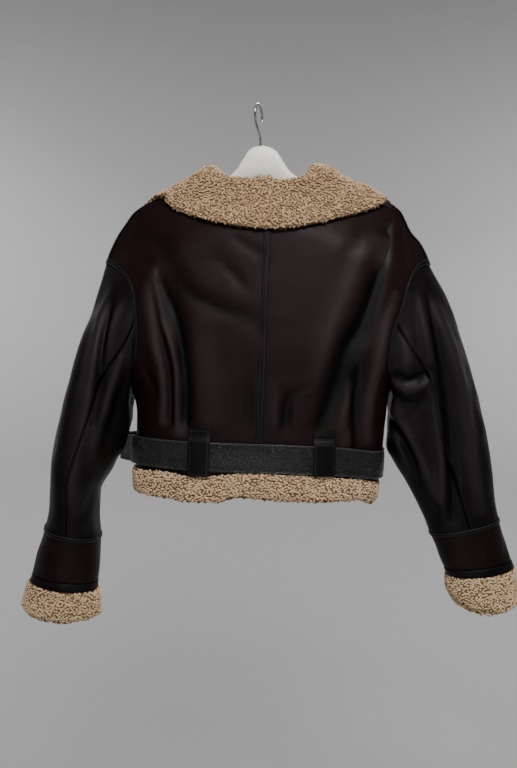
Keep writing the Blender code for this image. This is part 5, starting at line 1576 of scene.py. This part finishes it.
beltFinish = {
    "count": 360, "tipRound": 0.018, "tipPower": 2.6, "stitchedAt": (2, -3), "edge": 0.0007,
    "flatLength": 1.23,
    # a raised rim along each edge, a stitched groove, and a raised middle
    "section": table(
        "share lift rim",
        (-1, -0.0006, 0), (-0.94, 0.0007, 0.5), (-0.87, -0.0004, 0), (-0.79, -0.0006, 0),
        (-0.69, 0.0006, 0), (-0.4, 0.0009, 0), (0, 0.001, 0), (0.4, 0.0009, 0), (0.69, 0.0006, 0),
        (0.79, -0.0006, 0), (0.87, -0.0004, 0), (0.94, 0.0007, 1), (1, -0.0006, 0)),
}


def makeBelt():
    path, long = beltPath(beltFinish["count"])
    run = np.gradient(path, axis=0)
    run[:, 2] = 0
    out = unit(np.cross(run, np.array([0.0, 0.0, 1.0])))
    across = beltFinish["section"]["share"]
    along = np.linspace(0, long, len(path))
    fromTip = long - along
    tipRound = beltFinish["tipRound"]
    nearTip = ((tipRound - fromTip) / tipRound).clip(0, 1) ** beltFinish["tipPower"]
    narrow = np.sqrt(np.clip(1 - nearTip, 0.02, 1))
    half = belt["width"] / 2 * narrow
    lift = belt["thickness"] / 2 + beltFinish["section"]["lift"]
    points = atGarment(path[:, None] + out[:, None] * lift[None, :, None]
                       + np.array([0, 0, 1.0]) * (half[:, None] * across[None, :])[..., None])
    normals = np.repeat(out[:, None], len(across), axis=1)
    rim = np.repeat(beltFinish["section"]["rim"][None], len(points), axis=0)
    made = gridMesh(points, marks={"rim": rim})
    piece = addPiece("beltStrap", made, [beltLeather], outFromGrid(points, normals))
    addWall(piece, belt["thickness"])
    addBevel(piece, beltFinish["edge"], 3)
    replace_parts(piece, "belt_strap")
    addStitches("beltStitches", [(points[2:-14, k], normals[2:-14, k])
                                 for k in beltFinish["stitchedAt"]])
    print("belt made", round(long, 3))


def makeBuckle():                    # a rounded rectangle of wire, a quarter at a time
    middle = bodySurface(180.0, float(beltLevel(180.0)), buckle["height"])[0]
    corner = buckle["corner"]
    outline = []
    for quarter, (sx, sz) in enumerate(((1, 1), (-1, 1), (-1, -1), (1, -1))):
        for angle in (math.radians(90 * quarter + 15 * step) for step in range(7)):
            x = sx * (buckle["halfX"] - corner) + corner * math.cos(angle)
            z = sz * (buckle["halfZ"] - corner) + corner * math.sin(angle)
            outline.append((x + garmentX, middle[1], middle[2] + z))
    addWire("buckleFrame", "buckle_frame", outline, buckle["wire"], closed=True)


def makeLoop(word, side, which, x):
    place = float(turnAt(x, body["beltZ"])) if side > 0 else float(frontTurn(x))
    top = float(beltLevel(place)) + belt["width"] / 2 + loops["rise"]
    bottom = float(read(body["hem"], "x", "leather", x)) + loops["aboveHem"]
    shares = np.linspace(0, 1, loops["rows"])
    z = (top + (bottom - top) * shares)[:, None]
    over = belt["standoff"] + belt["thickness"] + loops["room"]
    if (word, which) == ("front", "Left"):
        over += loops["secondLayer"]             # the belt's free end lies under this one
    lift = loops["lie"] + (over - loops["lie"]) * through(
        shares, loops["steps"]["share"], loops["steps"]["lift"])
    across = np.linspace(-0.5, 0.5, loops["columns"])
    turns = turnAt((x + loops["width"] * across)[None, :], z)
    turns = turns if side > 0 else 180 - turns
    points, normal, _ = bodySurface(turns, z)
    crown = loops["crown"] * (1 - (2 * across) ** 4)
    high = atGarment(points + normal * (lift[:, None] + loops["thickness"] + crown)[..., None])
    name = f"beltLoop{word.capitalize()}{which}"
    piece = addPiece(name, gridMesh(high), [tapeLeather], outFromGrid(high, normal))
    addWall(piece, loops["thickness"])
    addBevel(piece, loops["edge"], 3)
    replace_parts(piece, f"belt_loop_{word}_{which.lower()}")
    sides = [(high[2:-2, k], normal[2:-2, k]) for k in (1, -2)]
    ends = [(high[k, 1:-1], normal[k, 1:-1]) for k in (3, -3)]
    addStitches(f"{name}Stitches", sides + ends)


def makeLoops():
    for word, side in (("back", backSide), ("front", frontSide)):
        for which, x in loops[word].items():
            makeLoop(word, side, which, x)
    print("loops made")


makeBelt()
makeBuckle()
makeLoops()


# Hanger and hook

hangerShape = {"sides": 32, "stations": 150, "square": 2.5, "endRound": 0.006}


def makeHanger():
    sections = hanger["sections"]
    x = np.linspace(sections["x"][0], sections["x"][-1], hangerShape["stations"])
    top, bottom, half = (through(x, sections["x"], sections[k]) for k in ("top", "bottom", "half"))
    top = top - through(x, hanger["bell"]["x"], hanger["bell"]["top"])
    bottom = bottom - through(x, hanger["bell"]["x"], hanger["bell"]["bottom"])
    angles = np.radians(np.arange(hangerShape["sides"]) * 360 / hangerShape["sides"])
    power = 2 / hangerShape["square"]
    cosine = np.sign(np.cos(angles)) * np.abs(np.cos(angles)) ** power
    sine = np.sign(np.sin(angles)) * np.abs(np.sin(angles)) ** power
    middle, tall = (top + bottom) / 2, (top - bottom) / 2
    ends = ease(np.minimum(x - x[0], x[-1] - x) / hangerShape["endRound"]) * 0.5 + 0.5
    points = np.stack([np.repeat(x[:, None], len(angles), axis=1),
                       (half * ends)[:, None] * cosine,
                       middle[:, None] + (tall * ends)[:, None] * sine], axis=-1)
    points = atGarment(closedRound(points))
    made = gridMesh(points, closed=True)
    closeEnds(made)
    bmesh.ops.recalc_face_normals(made, faces=made.faces)
    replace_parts(addPiece("hangerBody", made, [hangerFinish]), "hanger_body")


hook = {"radius": 0.0185, "wire": 0.0019, "twist": 0.0060, "steps": 90,
        "shank": [(-0.0045, 0.0, -0.0648), (-0.0040, 0.0005, -0.055), (0.0005, 0.0065, -0.040),
                  (0.0045, 0.0135, -0.030)]}


def makeHook():                      # the top of its inside is the origin
    centreZ = hook["wire"] - hook["radius"]
    arc = [(hook["twist"] * math.cos(a), hook["radius"] * math.cos(a),
            centreZ + hook["radius"] * math.sin(a)) for a in np.radians(np.linspace(-25, 195, 30))]
    knots = np.array(hook["shank"] + arc)
    way = wayAlong(knots)
    path = pointsAt(np.linspace(0, way[-1], hook["steps"]), way, knots, throughRound)
    addWire("hangerHook", "hanger_hook", path, hook["wire"], closed=False)


makeHanger()
makeHook()
print("hanger made")


# Room, lights and camera

room = {
    "floorZ": -2.02, "radius": 2.80, "curve": 0.85, "top": 2.6, "sides": 96,
    "colour": (0.34, 0.343, 0.34), "air": (0.80, 0.82, 0.84), "airStrength": 0.035,
}


def makeRoom():                      # a pale floor that sweeps up into a wall all round
    finish = newMaterial("paleFloor", Roughness=0.9, Specular_IOR_Level=0.1,
                         Base_Color=room["colour"])[0]
    shape = bmesh.new()
    start = [(0.0, room["floorZ"])]
    for angle in np.linspace(0, math.pi / 2, 12):
        start.append((room["radius"] - room["curve"] * (1 - math.sin(angle)),
                      room["floorZ"] + room["curve"] * (1 - math.cos(angle))))
    start.append((room["radius"], room["top"]))
    verts = [shape.verts.new((x, 0, z)) for x, z in start]
    edges = [shape.edges.new(pair) for pair in zip(verts[:-1], verts[1:])]
    bmesh.ops.spin(shape, geom=verts + edges, cent=(0, 0, 0), axis=(0, 0, 1), dvec=(0, 0, 0),
                   angle=2 * math.pi, steps=room["sides"], use_merge=True, use_duplicate=False)
    bmesh.ops.remove_doubles(shape, verts=shape.verts, dist=1e-5)
    bmesh.ops.recalc_face_normals(shape, faces=shape.faces)
    mesh = bpy.data.meshes.new("floor")
    shape.to_mesh(mesh)
    shape.free()
    mesh.materials.append(finish)
    mesh.shade_smooth()
    floor = bpy.data.objects.new("floor", mesh)
    bpy.context.scene.collection.objects.link(floor)


lamps = {
    # place, what it points at, size, power, colour
    "key": ((-0.30, 1.50, 1.15), (0.0, 0.0, -0.45), 0.75, 50, (1.0, 0.985, 0.965)),
    "low": ((0.10, 1.80, -1.20), (0.0, 0.0, -0.60), 0.70, 6, (1.0, 0.99, 0.98)),
    "top": ((0.0, 0.1, 1.8), (0.0, 0.0, -0.3), 1.2, 8, (1.0, 1.0, 1.0)),
    "wallLeft": ((1.7, -1.0, 0.0), (1.1, -2.8, -0.6), 1.4, 34, (0.98, 0.99, 1.0)),
    "wallRight": ((-1.7, -1.0, 0.0), (-1.1, -2.8, -0.6), 1.4, 34, (0.98, 0.99, 1.0)),
    "front": ((-0.35, -1.45, 1.30), (0.0, 0.0, -0.40), 0.8, 50, (1.0, 0.99, 0.98)),
}


def makeLights():
    for name, (place, target, size, power, colour) in lamps.items():
        lamp = bpy.data.lights.new(name, "AREA")
        lamp.size = size
        lamp.energy = power
        lamp.color = colour
        shown = bpy.data.objects.new(name, lamp)
        shown.location = place
        aim = Vector(target) - Vector(place)
        shown.rotation_mode = "QUATERNION"
        shown.rotation_quaternion = aim.to_track_quat("-Z", "Y")
        bpy.context.scene.collection.objects.link(shown)
    world = bpy.data.worlds.new("paleRoom")
    world.use_nodes = True
    setInputs(world.node_tree, world.node_tree.nodes["Background"], Color=room["air"],
              Strength=room["airStrength"])
    bpy.context.scene.world = world


camera = {"place": (-0.0105, 1.1, -0.3719), "lens": 30.0, "down": 4.8, "roll": 0.5, "lean": 1.1}


def makeCamera():
    down, roll, lean = (math.radians(camera[key]) for key in ("down", "roll", "lean"))
    right, up = Vector((-1, 0, 0)), Vector((0, -math.sin(down), math.cos(down)))
    ahead = Vector((0, -math.cos(down), -math.sin(down)))
    leaning = Matrix.Rotation(lean, 3, "Y")
    axes = [leaning @ v for v in (math.cos(roll) * right + math.sin(roll) * up,
                                  -math.sin(roll) * right + math.cos(roll) * up, -ahead)]
    view = bpy.data.objects.new("camera", bpy.data.cameras.new("camera"))
    view.data.sensor_fit = "AUTO"
    view.data.sensor_width = 36.0
    view.data.lens = camera["lens"]
    turned = Matrix([[axis[k] for axis in axes] for k in range(3)])
    view.matrix_world = Matrix.Translation(camera["place"]) @ turned.to_4x4()
    bpy.context.scene.collection.objects.link(view)
    bpy.context.scene.camera = view


makeRoom()
makeLights()
makeCamera()
print("room, lights and camera made")
